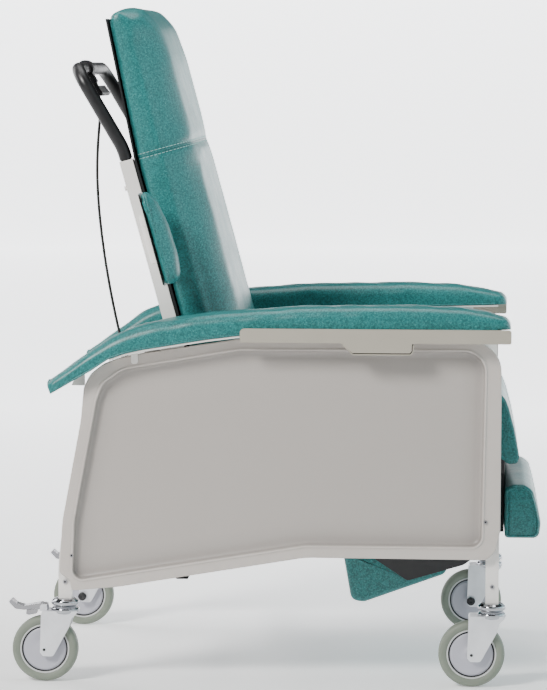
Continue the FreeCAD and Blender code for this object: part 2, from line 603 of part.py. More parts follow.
# lateral pads beside the back, each on an upright hinge
HY = D["wing_hinge_y"]
b = new_body("wing_bracket")
pad(b, sketch(b, "XY_Plane", rounded([(-1, -241.2), (7, -241.2), (7, -HY), (-1, -HY)]), "352"), "38")
pad(b, sketch(b, "XY_Plane", circle(6, -HY, 6.0), "345.5"), "51")
pad(b, sketch(b, "XY_Plane", circle(6, -HY, 3.0), "323"), "96")
back_place(b)
group("wing_brackets", [b, mirrored(b, "wing_bracket_mirror")])
b = new_body("wing_board_right")
pad(b, sketch(b, "XZ_Plane", rounded([(17.3, 280), (20.5, 280), (20.5, 461), (17.3, 461)]), "dims.wing_inner_y"), "dims.wing_width")
for z in ("325", "397"):
    pad(b, sketch(b, "XY_Plane", rounded([(6, -HY - 5.5), (18, -HY - 10), (18, -HY - 2.2), (6, -HY + 5.5)]), z), "20")
    pad(b, sketch(b, "XY_Plane", circle(6, -HY, 6.0), z), "20")
pocket(b, sketch(b, "XY_Plane", circle(6, -HY, 3.05), "440"), "140")
back_place(b)
pair(b, "wing_board")
b = new_body("wing_pad_right")
pad(b, sketch(b, "XZ_Plane", rounded([(20.8, 280, 3), (48, 280, 14), (55, 300, 20), (55, 440, 20), (48, 461, 14), (20.8, 461, 3)]),
              "dims.wingpad_inner_y"), "dims.wingpad_width")
back_place(b)
pair(b, "wing_pad")

# ---------------------------------------------------------------- leg rest
LEGARM = [(420, 527, 9), (428, 534, 9), (441.5, 531, 9), (442, 521, 4), (465, 436, 12), (460.5, 405, 12), (460.5, 254.5, 12),
          (432.5, 254.5, 12), (437, 400, 20), (440, 440, 20), (425, 478, 10), (391, 425, 9), (371.5, 434, 9)]
CX, CZ = 381.957, 434.457
FX, FZ = 446.5, 268.0
b = new_body("legrest_frame")
for off in ("dims.leg_arm_y", "-dims.leg_arm_y - dims.leg_arm_thick"):
    pad(b, sketch(b, "XZ_Plane", rounded(LEGARM), off), "dims.leg_arm_thick")
for z in (385.0, 300.0):
    pad(b, sketch(b, "XZ_Plane", rect(440.5, 456.5, z - 8, z + 8)), "2 * dims.leg_arm_y + 2", sym=True)
for off in ("dims.leg_arm_y", "-dims.leg_arm_y - 22.5"):
    pad(b, sketch(b, "XZ_Plane", circle(CX, CZ, 4.5), off), "22.5")
for off in ("205", "-217"):
    pad(b, sketch(b, "XZ_Plane", circle(FX, FZ, 5.0), off), "12")
pocket(b, sketch(b, "XZ_Plane", circle(LX, LZ, D["pin_radius"] + 0.05)), "500", sym=True)
shift(b); keep(b)

NX, NZ, DX, DZ = 0.9637, 0.2670, 0.2670, -0.9637   # across and along the calf pad


def leg_pt(n, t):
    return (LX + n * NX + t * DX, LZ + n * NZ + t * DZ)


b = new_body("calf_board")
pad(b, sketch(b, "XZ_Plane", rounded([leg_pt(12.2, 14), leg_pt(17.6, 14), leg_pt(17.6, 99), leg_pt(12.2, 99)])), "dims.leg_board_width", sym=True)
shift(b)
c = new_body("lower_leg_board")
pad(c, sketch(c, "XZ_Plane", rect(461.2, 469.2, 284, 408)), "dims.leg_board_width", sym=True)
shift(c)
group("legrest_boards", [b, c])
b = new_body("calf_pad")
ri, ro = 18.2, 45.5
top = math.radians(98)
geo = [Part.LineSegment(V(*leg_pt(ro, 0), 0), V(*leg_pt(ro - 5, 114), 0)), Part.LineSegment(V(*leg_pt(ro - 5, 114), 0), V(*leg_pt(ri, 111), 0)),
       Part.LineSegment(V(*leg_pt(ri, 111), 0), V(*leg_pt(ri, 0), 0)),
       Part.Arc(V(*leg_pt(ri, 0), 0), V(LX + ri * math.cos(math.radians(57)), LZ + ri * math.sin(math.radians(57)), 0),
                V(LX + ri * math.cos(top), LZ + ri * math.sin(top), 0)),
       Part.LineSegment(V(LX + ri * math.cos(top), LZ + ri * math.sin(top), 0), V(LX + ro * math.cos(top), LZ + ro * math.sin(top), 0)),
       Part.Arc(V(LX + ro * math.cos(top), LZ + ro * math.sin(top), 0),
                V(LX + ro * math.cos(math.radians(57)), LZ + ro * math.sin(math.radians(57)), 0), V(*leg_pt(ro, 0), 0))]
pad(b, sketch(b, "XZ_Plane", geo), "dims.leg_pad_width", sym=True)
shift(b); keep(b)
b = new_body("lower_leg_pad")
pad(b, sketch(b, "XZ_Plane", rounded([(470, 371, 4), (486, 377, 24), (508, 377.5, 20), (524.5, 366, 18), (533, 338, 60), (540.6, 305, 18),
                                      (537.5, 273.5, 12), (470, 273, 5)])), "dims.leg_pad_width", sym=True)
shift(b); keep(b)

# footrest, stowed under the seat, hinged at the foot of the leg rest
b = new_body("footrest_plates")
FOOT = [(214, 232, 8), (284, 186, 10), (393, 218, 30), (440, 254, 10), (459.5, 262, 10), (456, 281, 10), (440, 282, 10), (300, 268, 20), (222, 246, 8)]
for off in ("dims.foot_plate_y", "-dims.foot_plate_y - dims.foot_plate_thick"):
    pad(b, sketch(b, "XZ_Plane", rounded(FOOT) + circle(FX, FZ, 5.05), off), "dims.foot_plate_thick")
pad(b, sketch(b, "XZ_Plane", rect(372, 384, 236, 252)), "2 * dims.foot_plate_y + 2", sym=True)
shift(b); keep(b)
b = new_body("footrest_pad")
pad(b, sketch(b, "XZ_Plane", rounded([(157, 243, 6), (174.5, 143, 20), (199, 139.5, 14), (357, 197, 14), (363, 212, 10), (340, 260, 8)])),
    "dims.foot_width", sym=True)
shift(b); keep(b)

# ---------------------------------------------------------------- linkage
AX, AZ = -168.593, 353.745
EX, EZ = CX - 0.4271, CZ - 2.7869
u = V(EX - AX, EZ - AZ, 0); u.normalize()
w = V(-u.y, u.x, 0)


def rod_pt(q, along, across):
    return (q[0] + u.x * along + w.x * across, q[1] + u.y * along + w.y * across)


b = new_body("connecting_rod")
o, e = (AX, AZ), (EX, EZ)
pad(b, sketch(b, "XZ_Plane", rounded([rod_pt(o, -12, -12) + (11,), rod_pt(o, 12, -12) + (8,), rod_pt(o, 26, -8) + (10,), rod_pt(e, -28, -8) + (10,),
                                      rod_pt(e, -13, -13.5) + (8,), rod_pt(e, 13.5, -13.5) + (12,), rod_pt(e, 13.5, 13.5) + (12,),
                                      rod_pt(e, -13, 13.5) + (8,), rod_pt(e, -28, 8) + (10,), rod_pt(o, 26, 8) + (10,), rod_pt(o, 12, 12) + (8,),
                                      rod_pt(o, -12, 12) + (11,)])
              + circle(AX, AZ, 5.05) + circle(EX, EZ, 7.9), "dims.rod_inner_y"), "dims.rod_thick")
shift(b)
group("connecting_rods", [b, mirrored(b, "connecting_rod_mirror")])


def gas_place(obj):
    return shift(obj, "dims.gas_x", "0", "dims.gas_z", BACK_AXIS, "dims.gas_angle")


b = new_body("gas_cylinder")
revolve(b, sketch(b, "XZ_Plane", rounded([(6, 0), (6, 7), (21, 7), (21, 12, 1), (24, 14, 2), (225, 14, 2), (226.5, 11, 1), (226.5, 5.05), (213, 5.05),
                                          (213, 11.2), (38, 11.2), (38, 0)])), "H_Axis")
pad(b, sketch(b, "XZ_Plane", circle(0, 0, 11.0)), "dims.gas_eye_width", sym=True)
pocket(b, sketch(b, "XZ_Plane", circle(0, 0, 5.05)), "60", sym=True)
gas_place(b); keep(b)
b = new_body("gas_rod")
revolve(b, sketch(b, "XZ_Plane", rounded([(124, 0), (124, 11.12), (136, 11.12), (136, 5), (296, 5), (296, 11, 2), (318, 11, 2), (318, 0)])), "H_Axis")
pad(b, sketch(b, "XZ_Plane", circle(327.153, 0, 13.2)), "dims.gas_head_width", sym=True)
pocket(b, sketch(b, "XZ_Plane", circle(327.153, 0, 7.6)), "60", sym=True)
gas_place(b); keep(b)

# ---------------------------------------------------------------- write
doc.recompute()
bad = [o.Label for o in doc.Objects if any(k in ("Invalid", "Error") for k in o.State)]
if bad:
    raise RuntimeError("failed objects: " + ", ".join(bad))
for o in OUT:
    s = o.Shape
    if s.isNull() or not s.isValid() or not s.Solids:
        raise RuntimeError("bad shape: " + o.Label)
names = [o.Label for o in OUT]
if len(set(names)) != len(names) or len(names) > 60:
    raise RuntimeError("node names")
os.makedirs("parts", exist_ok=True)
for o in OUT:
    o.Shape.exportStep("parts/%s.step" % o.Label)
box = FreeCAD.BoundBox()
for o in OUT:
    box.add(o.Shape.BoundBox)
print("%d nodes, box X %.2f..%.2f Y %.2f..%.2f Z %.2f..%.2f" % (len(OUT), box.XMin, box.XMax, box.YMin, box.YMax, box.ZMin, box.ZMax))
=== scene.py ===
import json
import math
import bpy
import bmesh
import numpy as np
from mathutils import Matrix, Vector
from mathutils.bvhtree import BVHTree


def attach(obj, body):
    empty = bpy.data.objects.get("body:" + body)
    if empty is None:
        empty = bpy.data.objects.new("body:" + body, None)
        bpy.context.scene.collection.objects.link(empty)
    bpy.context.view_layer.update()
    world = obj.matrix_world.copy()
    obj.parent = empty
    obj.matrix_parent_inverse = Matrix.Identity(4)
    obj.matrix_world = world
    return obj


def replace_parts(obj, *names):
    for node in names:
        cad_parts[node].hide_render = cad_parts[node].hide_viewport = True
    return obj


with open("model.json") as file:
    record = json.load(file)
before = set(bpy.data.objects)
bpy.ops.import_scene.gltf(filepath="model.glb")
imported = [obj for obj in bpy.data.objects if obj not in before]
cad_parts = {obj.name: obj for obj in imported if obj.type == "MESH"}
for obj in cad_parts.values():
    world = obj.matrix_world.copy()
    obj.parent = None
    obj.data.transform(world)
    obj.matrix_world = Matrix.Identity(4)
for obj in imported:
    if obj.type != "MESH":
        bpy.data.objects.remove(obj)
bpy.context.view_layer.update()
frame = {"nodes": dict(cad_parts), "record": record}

SHIFT = 0.0315                      # wheelbase X to row X, metres


# ------------------------------------------------------------------ node helpers
def new_mat(name):
    m = bpy.data.materials.new(name)
    m.use_nodes = True
    nt = m.node_tree
    for n in list(nt.nodes):
        nt.nodes.remove(n)
    out = nt.nodes.new("ShaderNodeOutputMaterial")
    bs = nt.nodes.new("ShaderNodeBsdfPrincipled")
    nt.links.new(bs.outputs[0], out.inputs[0])
    tc = nt.nodes.new("ShaderNodeTexCoord")
    return m, nt, bs, tc.outputs["Object"]


def noise(nt, vec, scale, detail=3.0, rough=0.55, dist=0.0):
    n = nt.nodes.new("ShaderNodeTexNoise")
    n.inputs["Scale"].default_value = scale
    n.inputs["Detail"].default_value = detail
    n.inputs["Roughness"].default_value = rough
    n.inputs["Distortion"].default_value = dist
    nt.links.new(vec, n.inputs["Vector"])
    return n.outputs["Fac"]


def voronoi(nt, vec, scale, feature="F1"):
    n = nt.nodes.new("ShaderNodeTexVoronoi")
    n.feature = feature
    n.inputs["Scale"].default_value = scale
    nt.links.new(vec, n.inputs["Vector"])
    return n.outputs["Distance"]


def remap(nt, val, a, b, c, d):
    n = nt.nodes.new("ShaderNodeMapRange")
    for i, v in zip(("From Min", "From Max", "To Min", "To Max"), (a, b, c, d)):
        n.inputs[i].default_value = v
    nt.links.new(val, n.inputs["Value"])
    return n.outputs["Result"]


def mixc(nt, fac, a, b):
    n = nt.nodes.new("ShaderNodeMix")
    n.data_type = "RGBA"
    ins = [i for i in n.inputs if i.type == "RGBA"]
    facs = [i for i in n.inputs if i.name == "Factor" and i.type == "VALUE"]
    if hasattr(fac, "is_linked"):
        nt.links.new(fac, facs[0])
    else:
        facs[0].default_value = fac
    for sock, v in zip(ins, (a, b)):
        if hasattr(v, "is_linked"):
            nt.links.new(v, sock)
        else:
            sock.default_value = tuple(v) + (1.0,)
    return [o for o in n.outputs if o.type == "RGBA"][0]


def bump(nt, bs, height, strength, distance, after=None):
    n = nt.nodes.new("ShaderNodeBump")
    n.inputs["Strength"].default_value = strength
    n.inputs["Distance"].default_value = distance
    nt.links.new(height, n.inputs["Height"])
    if after is not None:
        nt.links.new(after, n.inputs["Normal"])
    nt.links.new(n.outputs[0], bs.inputs["Normal"])
    return n.outputs[0]


def math_node(nt, op, a, b=None, c=None):
    n = nt.nodes.new("ShaderNodeMath")
    n.operation = op
    for sock, v in zip(n.inputs, (a, b, c)):
        if v is None:
            continue
        if hasattr(v, "is_linked"):
            nt.links.new(v, sock)
        else:
            sock.default_value = v
    return n.outputs[0]


def vinyl(name, dark, mid, light):
    m, nt, bs, vec = new_mat(name)
    cell = voronoi(nt, vec, 760.0)
    fine = noise(nt, vec, 640.0, 4.0, 0.7)
    broad = noise(nt, vec, 7.0, 2.0, 0.5)
    spots = remap(nt, fine, 0.36, 0.64, 0.0, 1.0)
    mottle = remap(nt, noise(nt, vec, 300.0, 2.0, 0.55, 0.2), 0.40, 0.60, 0.0, 1.0)
    col = mixc(nt, math_node(nt, "MULTIPLY_ADD", spots, 0.35, math_node(nt, "MULTIPLY", mottle, 0.65)), dark, mid)
    flecks = remap(nt, noise(nt, vec, 380.0, 2.0, 0.6, 0.4), 0.54, 0.72, 0.0, 0.55)
    col = mixc(nt, flecks, col, light)
    tone = remap(nt, broad, 0.3, 0.7, 0.0, 0.18)
    col = mixc(nt, tone, col, dark)
    nt.links.new(col, bs.inputs["Base Color"])
    r = remap(nt, noise(nt, vec, 24.0, 3.0), 0.3, 0.7, 0.33, 0.42)
    r2 = remap(nt, fine, 0.3, 0.7, -0.03, 0.05)
    nt.links.new(math_node(nt, "ADD", r, r2), bs.inputs["Roughness"])
    bs.inputs["Specular IOR Level"].default_value = 0.45
    bs.inputs["Coat Weight"].default_value = 0.05
    bs.inputs["Coat Roughness"].default_value = 0.30
    bs.inputs["Sheen Weight"].default_value = 0.0
    bs.inputs["Sheen Roughness"].default_value = 0.5
    bs.inputs["Sheen Tint"].default_value = (0.75, 0.9, 0.95, 1.0)
    b1 = bump(nt, bs, cell, 0.20, 0.0005)
    bump(nt, bs, noise(nt, vec, 60.0, 4.0, 0.6), 0.10, 0.0012, b1)
    return m


def paint(name, col, rough, metal=0.0, peel=260.0, peel_str=0.05, spread=0.05,
          spec=0.5, coat=0.0, dust=0.06, dirt=None):
    """Painted, moulded or plated surface with a fine skin, faint blotches and slight wear in its gloss."""
    m, nt, bs, vec = new_mat(name)
    blot = remap(nt, noise(nt, vec, 9.0, 4.0, 0.6), 0.3, 0.7, 0.0, 1.0)
    dark = tuple(c * (1.0 - dust) for c in col) if dirt is None else dirt
    nt.links.new(mixc(nt, math_node(nt, "MULTIPLY", blot, 1.0), dark, col), bs.inputs["Base Color"])
    scr = remap(nt, noise(nt, vec, 70.0, 5.0, 0.65), 0.35, 0.65, rough - spread, rough + spread)
    nt.links.new(scr, bs.inputs["Roughness"])
    bs.inputs["Metallic"].default_value = metal
    bs.inputs["Specular IOR Level"].default_value = spec
    bs.inputs["Coat Weight"].default_value = coat
    bs.inputs["Coat Roughness"].default_value = 0.15
    bump(nt, bs, noise(nt, vec, peel, 3.0, 0.6), peel_str, 0.0006)
    return m


def brushed(name, col, rough, axis, metal=1.0):
    m, nt, bs, vec = new_mat(name)
    mp = nt.nodes.new("ShaderNodeMapping")
    sc = [1.0, 1.0, 1.0]
    sc[axis] = 0.06
    mp.inputs["Scale"].default_value = sc
    nt.links.new(vec, mp.inputs["Vector"])
    lines = noise(nt, mp.outputs[0], 900.0, 4.0, 0.7)
    blot = noise(nt, vec, 22.0, 3.0)
    nt.links.new(mixc(nt, remap(nt, blot, 0.3, 0.7, 0.0, 1.0), tuple(c * 0.86 for c in col), col), bs.inputs["Base Color"])
    bs.inputs["Metallic"].default_value = metal
    nt.links.new(math_node(nt, "ADD", remap(nt, lines, 0.3, 0.7, rough - 0.05, rough + 0.06),
                           remap(nt, blot, 0.3, 0.7, -0.03, 0.04)), bs.inputs["Roughness"])
    bump(nt, bs, lines, 0.05, 0.0003)
    return m


def panel_mat():
    """Moulded panel: the hollow is painted a darker tone than the rim as painted shade, and ambient occlusion paints
    shade into its corners.
    """
    m, nt, bs, vec = new_mat("panel_taupe")
    sep = nt.nodes.new("ShaderNodeSeparateXYZ")
    nt.links.new(vec, sep.inputs[0])
    # painted shade: the base colour turns darker from the rim down into the hollow, by the depth of the surface
    height = remap(nt, math_node(nt, "ABSOLUTE", sep.outputs["Y"]), 0.3230, 0.3335, 0.0, 1.0)
    blot = remap(nt, noise(nt, vec, 7.0, 4.0, 0.6), 0.3, 0.7, 0.0, 1.0)
    col = mixc(nt, height, (0.420, 0.386, 0.360), (0.540, 0.495, 0.460))
    col = mixc(nt, math_node(nt, "MULTIPLY", blot, 0.10), col, (0.36, 0.33, 0.30))
    # painted shade: ambient occlusion darkens the base colour in the corners and along the walls of the hollow
    ao = nt.nodes.new("ShaderNodeAmbientOcclusion")
    ao.samples = 8
    ao.only_local = True
    ao.inputs["Distance"].default_value = 0.045
    col = mixc(nt, remap(nt, ao.outputs["AO"], 0.55, 0.97, 0.0, 1.0), (0.215, 0.198, 0.188), col)
    nt.links.new(col, bs.inputs["Base Color"])
    nt.links.new(remap(nt, noise(nt, vec, 55.0, 5.0, 0.65), 0.35, 0.65, 0.33, 0.43), bs.inputs["Roughness"])
    b1 = bump(nt, bs, noise(nt, vec, 420.0, 3.0, 0.6), 0.05, 0.0005)
    bump(nt, bs, noise(nt, vec, 5.0, 2.0, 0.5), 0.12, 0.004, b1)
    return m


M = {
    "teal_vinyl": vinyl("vinyl_teal", (0.006, 0.080, 0.079), (0.021, 0.205, 0.203), (0.080, 0.375, 0.370)),
    "panel_plastic": panel_mat(),
    "frame_paint": paint("frame_offwhite", (0.820, 0.795, 0.765), 0.38, peel=340.0, peel_str=0.05, dust=0.06),
    "black_steel": paint("black_coat", (0.017, 0.017, 0.019), 0.42, peel=500.0, peel_str=0.10, dust=0.2),
    "black_board": paint("black_board", (0.012, 0.013, 0.014), 0.66, peel=700.0, peel_str=0.04, spec=0.25, dust=0.25),
    "white_board": paint("white_edge", (0.760, 0.750, 0.715), 0.45, peel=300.0, peel_str=0.05),
    "rail_plastic": paint("rail_offwhite", (0.400, 0.368, 0.308), 0.40, peel=380.0, peel_str=0.05, dust=0.05),
    "bright_steel": brushed("plated_steel", (0.38, 0.38, 0.40), 0.22, 0),
    "chrome": paint("chrome", (0.44, 0.45, 0.48), 0.08, metal=1.0, peel=30.0, peel_str=0.02, spread=0.03, dust=0.10),
    "zinc_steel": brushed("zinc_plate", (0.86, 0.87, 0.91), 0.34, 2, 0.55),
    "hub_plastic": paint("hub_grey", (0.440, 0.440, 0.500), 0.40, peel=500.0, peel_str=0.05, dust=0.08),
    "tyre_rubber": paint("tyre_greygreen", (0.195, 0.222, 0.178), 0.55, peel=600.0, peel_str=0.10, dust=0.14),
    "grip_rubber": paint("grip_black", (0.009, 0.009, 0.010), 0.40, peel=900.0, peel_str=0.10, spread=0.07, dust=0.2),
    "black_plastic": paint("lever_black", (0.011, 0.011, 0.012), 0.38, peel=600.0, peel_str=0.08, dust=0.2),
    "thread": paint("thread", (0.300, 0.600, 0.570), 0.6, peel=2400.0, peel_str=0.3, dust=0.25),
    "rim_light": paint("rim_light", (0.560, 0.570, 0.560), 0.34, peel=400.0, peel_str=0.05, dust=0.08),
    "rim_black": paint("ring_black", (0.012, 0.012, 0.014), 0.5, peel=500.0, peel_str=0.08, dust=0.2),
    "screw": brushed("screw_steel", (0.55, 0.55, 0.56), 0.30, 1),
}


# ------------------------------------------------------------------ mesh helpers
def link(obj):
    bpy.context.scene.collection.objects.link(obj)
    return obj


def piece(name, verts, faces, mat, body, smooth=True, merge=0.0):
    me = bpy.data.meshes.new(name)
    me.from_pydata([tuple(map(float, v)) for v in verts], [], [tuple(map(int, f)) for f in faces])
    bm = bmesh.new()
    bm.from_mesh(me)
    if merge > 0:
        bmesh.ops.remove_doubles(bm, verts=bm.verts, dist=merge)
        bmesh.ops.dissolve_degenerate(bm, dist=merge * 0.5, edges=bm.edges)
    bmesh.ops.recalc_face_normals(bm, faces=bm.faces)
    bm.to_mesh(me)
    bm.free()
    for p in me.polygons:
        p.use_smooth = smooth
    me.materials.append(M[mat])
    o = link(bpy.data.objects.new(name, me))
    if body:
        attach(o, body)
    return o


def arcs(points, closed=True, step=0.10):
    """Dense polyline (metres) through (x, z[, r]) points in millimetres, corners rounded by tangent arcs."""
    n = len(points)
    P = [np.array(p[:2], float) for p in points]
    out = []
    for i in range(n):
        p = P[i]
        r = points[i][2] if len(points[i]) > 2 else 0.0
        if r <= 0 or (not closed and i in (0, n - 1)):
            out.append(p)
            continue
        a, b = P[i - 1] - p, P[(i + 1) % n] - p
        la, lb = np.linalg.norm(a), np.linalg.norm(b)
        a, b = a / la, b / lb
        ang = math.acos(max(-1.0, min(1.0, float(a @ b))))
        if abs(ang - math.pi) < 1e-3:
            out.append(p)
            continue
        t = r / math.tan(ang / 2)
        lim = 0.47 * min(la, lb)
        if t > lim:
            t = lim
            r = t * math.tan(ang / 2)
        bis = (a + b) / np.linalg.norm(a + b)
        c = p + bis * (r / math.sin(ang / 2))
        s, e = p + a * t - c, p + b * t - c
        sweep = math.pi - ang
        k = max(2, int(math.ceil(sweep / step)))
        s0 = math.atan2(s[1], s[0])
        d = math.atan2(s[0] * e[1] - s[1] * e[0], float(s @ e))
        for j in range(k + 1):
            q = s0 + d * j / k
            out.append(c + r * np.array([math.cos(q), math.sin(q)]))
    return np.array(out) / 1000.0


def even(loop, ds, closed=True):
    """Resample a polyline at about ds."""
    q = np.vstack([loop, loop[:1]]) if closed else np.array(loop)
    seg = np.linalg.norm(np.diff(q, axis=0), axis=1)
    keep = np.r_[True, seg > 1e-9]
    q = q[keep]
    seg = np.linalg.norm(np.diff(q, axis=0), axis=1)
    s = np.r_[0, np.cumsum(seg)]
    n = max(8, int(round(s[-1] / ds)))
    t = np.linspace(0, s[-1], n + 1)
    res = np.stack([np.interp(t, s, q[:, k]) for k in range(q.shape[1])], axis=1)
    return res[:-1] if closed else res


def ccw(loop):
    x, z = loop[:, 0], loop[:, 1]
    return loop if np.sum(x * np.roll(z, -1) - np.roll(x, -1) * z) > 0 else loop[::-1]


def normals2(loop):
    t = np.roll(loop, -1, 0) - np.roll(loop, 1, 0)
    t /= np.linalg.norm(t, axis=1)[:, None] + 1e-12
    return np.stack([t[:, 1], -t[:, 0]], axis=1)


def plain(p2, y):
    """Profile in wheelbase X, Z to row coordinates."""
    return np.stack([p2[:, 0] - SHIFT, np.full(len(p2), y) if np.isscalar(y) else y, p2[:, 1]], axis=1)


TILT = math.radians(15.51)
CT, ST = math.cos(TILT), math.sin(TILT)


def backp(p2, y):
    """Profile in the back's own x, z to row coordinates."""
    X = -0.119 - SHIFT + p2[:, 0] * CT - p2[:, 1] * ST
    Z = 0.490 + p2[:, 0] * ST + p2[:, 1] * CT
    return np.stack([X, np.full(len(p2), y) if np.isscalar(y) else y, Z], axis=1)


def backpt(x, y, z):
    """One point of the back, millimetres to row metres."""
    return Vector((-0.119 - SHIFT + (x * CT - z * ST) / 1000, y / 1000, 0.490 + (x * ST + z * CT) / 1000))


def pillow(name, prof, y0, y1, edge, place, mat, body, weight=None, crown=None, ny=24, bulge=0.0, ds=0.007, rings=6):
    """Closed padded form: a profile carried along Y, its two end edges rounded, its faces crowned."""
    loop = even(ccw(prof), ds)
    nrm = normals2(loop)
    w = np.ones(len(loop)) if weight is None else weight(loop)
    c = np.zeros(len(loop)) if crown is None else crown(loop)
    mid, half = (y0 + y1) / 2, abs(y1 - y0) / 2
    k = 7
    inner = np.linspace(-half + edge, half - edge, ny + 1)[1:-1]
    # from the end cap, fully inset, to the straight part
    left = [(-half + edge * (1 - math.cos(math.pi / 2 * i / k)), edge * (1 - math.sin(math.pi / 2 * i / k))) for i in range(k + 1)]
    stations = left + [(y, 0.0) for y in inner] + [(-y, ins) for y, ins in left[::-1]]
    verts, faces = [], []
    n = len(loop)

    def ring(y, ins):
        u = max(0.0, 1 - (y / half) ** 2)
        p = loop - nrm * (ins * w)[:, None] + nrm * (c * u)[:, None]
        return p

    zl, zh = loop[:, 1].min(), loop[:, 1].max()
    xl, xh = loop[:, 0].min(), loop[:, 0].max()
    rows = []
    first = ring(*stations[0])
    # medial targets for the end caps
    order = 0 if (xh - xl) > (zh - zl) else 1
    lo = loop[:, order].min(); hi = loop[:, order].max()
    oth = 1 - order
    span = hi - lo
    grid = np.linspace(lo, hi, 60)
    medial = np.zeros(60)
    for i, g in enumerate(grid):
        d = np.abs(loop[:, order] - g) < span / 30 + ds
        v = loop[d][:, oth]
        medial[i] = (v.min() + v.max()) / 2 if len(v) else medial[i - 1]
    thick = min(xh - xl, zh - zl) / 2

    def target(p):
        o = np.clip(p[:, order], lo + min(thick, span / 2.2), hi - min(thick, span / 2.2))
        res = np.zeros_like(p)
        res[:, order] = o
        res[:, oth] = np.interp(o, grid, medial)
        return res

    tg = target(first)
    for s in range(rings, 0, -1):
        f = s / rings
        rows.append((first * (1 - f) + tg * f, stations[0][0] - bulge * (1 - (1 - f) ** 2)))
    for y, ins in stations:
        rows.append((ring(y, ins), y))
    last = ring(*stations[-1])
    for s in range(1, rings + 1):
        f = s / rings
        rows.append((last * (1 - f) + tg * f, stations[-1][0] + bulge * (1 - (1 - f) ** 2)))
    for p, y in rows:
        verts.append(place(p, mid + y))
    m = len(rows)
    V3 = np.vstack(verts)
    for j in range(m - 1):
        for i in range(n):
            a, b = j * n + i, j * n + (i + 1) % n
            faces.append((a, b, b + n, a + n))
    faces.append(tuple(range(n)))
    faces.append(tuple(range((m - 1) * n, m * n)))
    o = piece(name, V3, faces, mat, None, merge=2e-4)
    if body:
        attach(o, body)
    return o


def tube(name, pts, r, mat, body, closed=False, sides=10):
    P = np.array([tuple(p) for p in pts], float)
    n = len(P)
    T = np.roll(P, -1, 0) - np.roll(P, 1, 0) if closed else np.gradient(P, axis=0)
    T /= np.linalg.norm(T, axis=1)[:, None] + 1e-12
    ref = np.array([0.0, 0.0, 1.0]) if abs(T[0][2]) < 0.9 else np.array([1.0, 0.0, 0.0])
    u = np.cross(T[0], ref); u /= np.linalg.norm(u)
    verts, faces = [], []
    for i in range(n):
        u = u - T[i] * (u @ T[i]); u /= np.linalg.norm(u)
        v = np.cross(T[i], u)
        for k in range(sides):
            a = 2 * math.pi * k / sides
            verts.append(P[i] + r * (math.cos(a) * u + math.sin(a) * v))
    rows = n if closed else n - 1
    for i in range(rows):
        j = (i + 1) % n
        for k in range(sides):
            k2 = (k + 1) % sides
            faces.append((i * sides + k, i * sides + k2, j * sides + k2, j * sides + k))
    if not closed:
        faces.append(tuple(range(sides)))
        faces.append(tuple(range((n - 1) * sides, n * sides)))
    return piece(name, verts, faces, mat, body)


def lathe(name, prof, center, mat, body, steps=72):
    """Profile of (y, r) in millimetres turned about an axis along Y through center (metres)."""
    verts, faces = [], []
    n = len(prof)
    for k in range(steps):
        a = 2 * math.pi * k / steps
        for y, r in prof:
            verts.append((center[0] + r / 1000 * math.cos(a), center[1] + y / 1000, center[2] + r / 1000 * math.sin(a)))
    for k in range(steps):
        k2 = (k + 1) % steps
        for i in range(n):
            j = (i + 1) % n
            faces.append((k * n + i, k * n + j, k2 * n + j, k2 * n + i))
    o = piece(name, verts, faces, mat, body)
    return o


def box_piece(name, lo, hi, mat, body, bev=0.001):
    x0, y0, z0 = lo; x1, y1, z1 = hi
    v = [(x, y, z) for x in (x0, x1) for y in (y0, y1) for z in (z0, z1)]
    f = [(0, 1, 3, 2), (4, 6, 7, 5), (0, 4, 5, 1), (2, 3, 7, 6), (0, 2, 6, 4), (1, 5, 7, 3)]
    o = piece(name, v, f, mat, body, smooth=True)
    bevel(o, bev)
    return o


def bevel(o, width, segs=3, angle=35):
    b = o.modifiers.new("bevel", "BEVEL")
    b.width = width
    b.segments = segs
    b.limit_method = "ANGLE"
    b.angle_limit = math.radians(angle)
    b.harden_normals = False
    w = o.modifiers.new("normals", "WEIGHTED_NORMAL")
    w.keep_sharp = False
    w.weight = 60
    return o


def apply_all(o):
    bpy.context.view_layer.update()
    dg = bpy.context.evaluated_depsgraph_get()
    me = bpy.data.meshes.new_from_object(o.evaluated_get(dg), preserve_all_data_layers=False, depsgraph=dg)
    o.modifiers.clear()
    old = o.data
    mats = [m for m in old.materials]
    o.data = me
    if not me.materials:
        for m in mats:
            me.materials.append(m)
    for p in me.polygons:
        p.use_smooth = True
    return o


def coords(o):
    a = np.zeros(len(o.data.vertices) * 3)
    o.data.vertices.foreach_get("co", a)
    return a.reshape(-1, 3)


def set_coords(o, a):
    o.data.vertices.foreach_set("co", np.ascontiguousarray(a, float).ravel())
    o.data.update()


def vnormals(o):
    a = np.zeros(len(o.data.vertices) * 3)
    o.data.vertices.foreach_get("normal", a)
    return a.reshape(-1, 3)


def remesh(o, size):
    m = o.modifiers.new("voxel", "REMESH")
    m.mode = "VOXEL"
    m.voxel_size = size
    m.use_smooth_shade = True
    s = o.modifiers.new("smooth", "SMOOTH")
    s.factor = 0.5
    s.iterations = 4
    return apply_all(o)


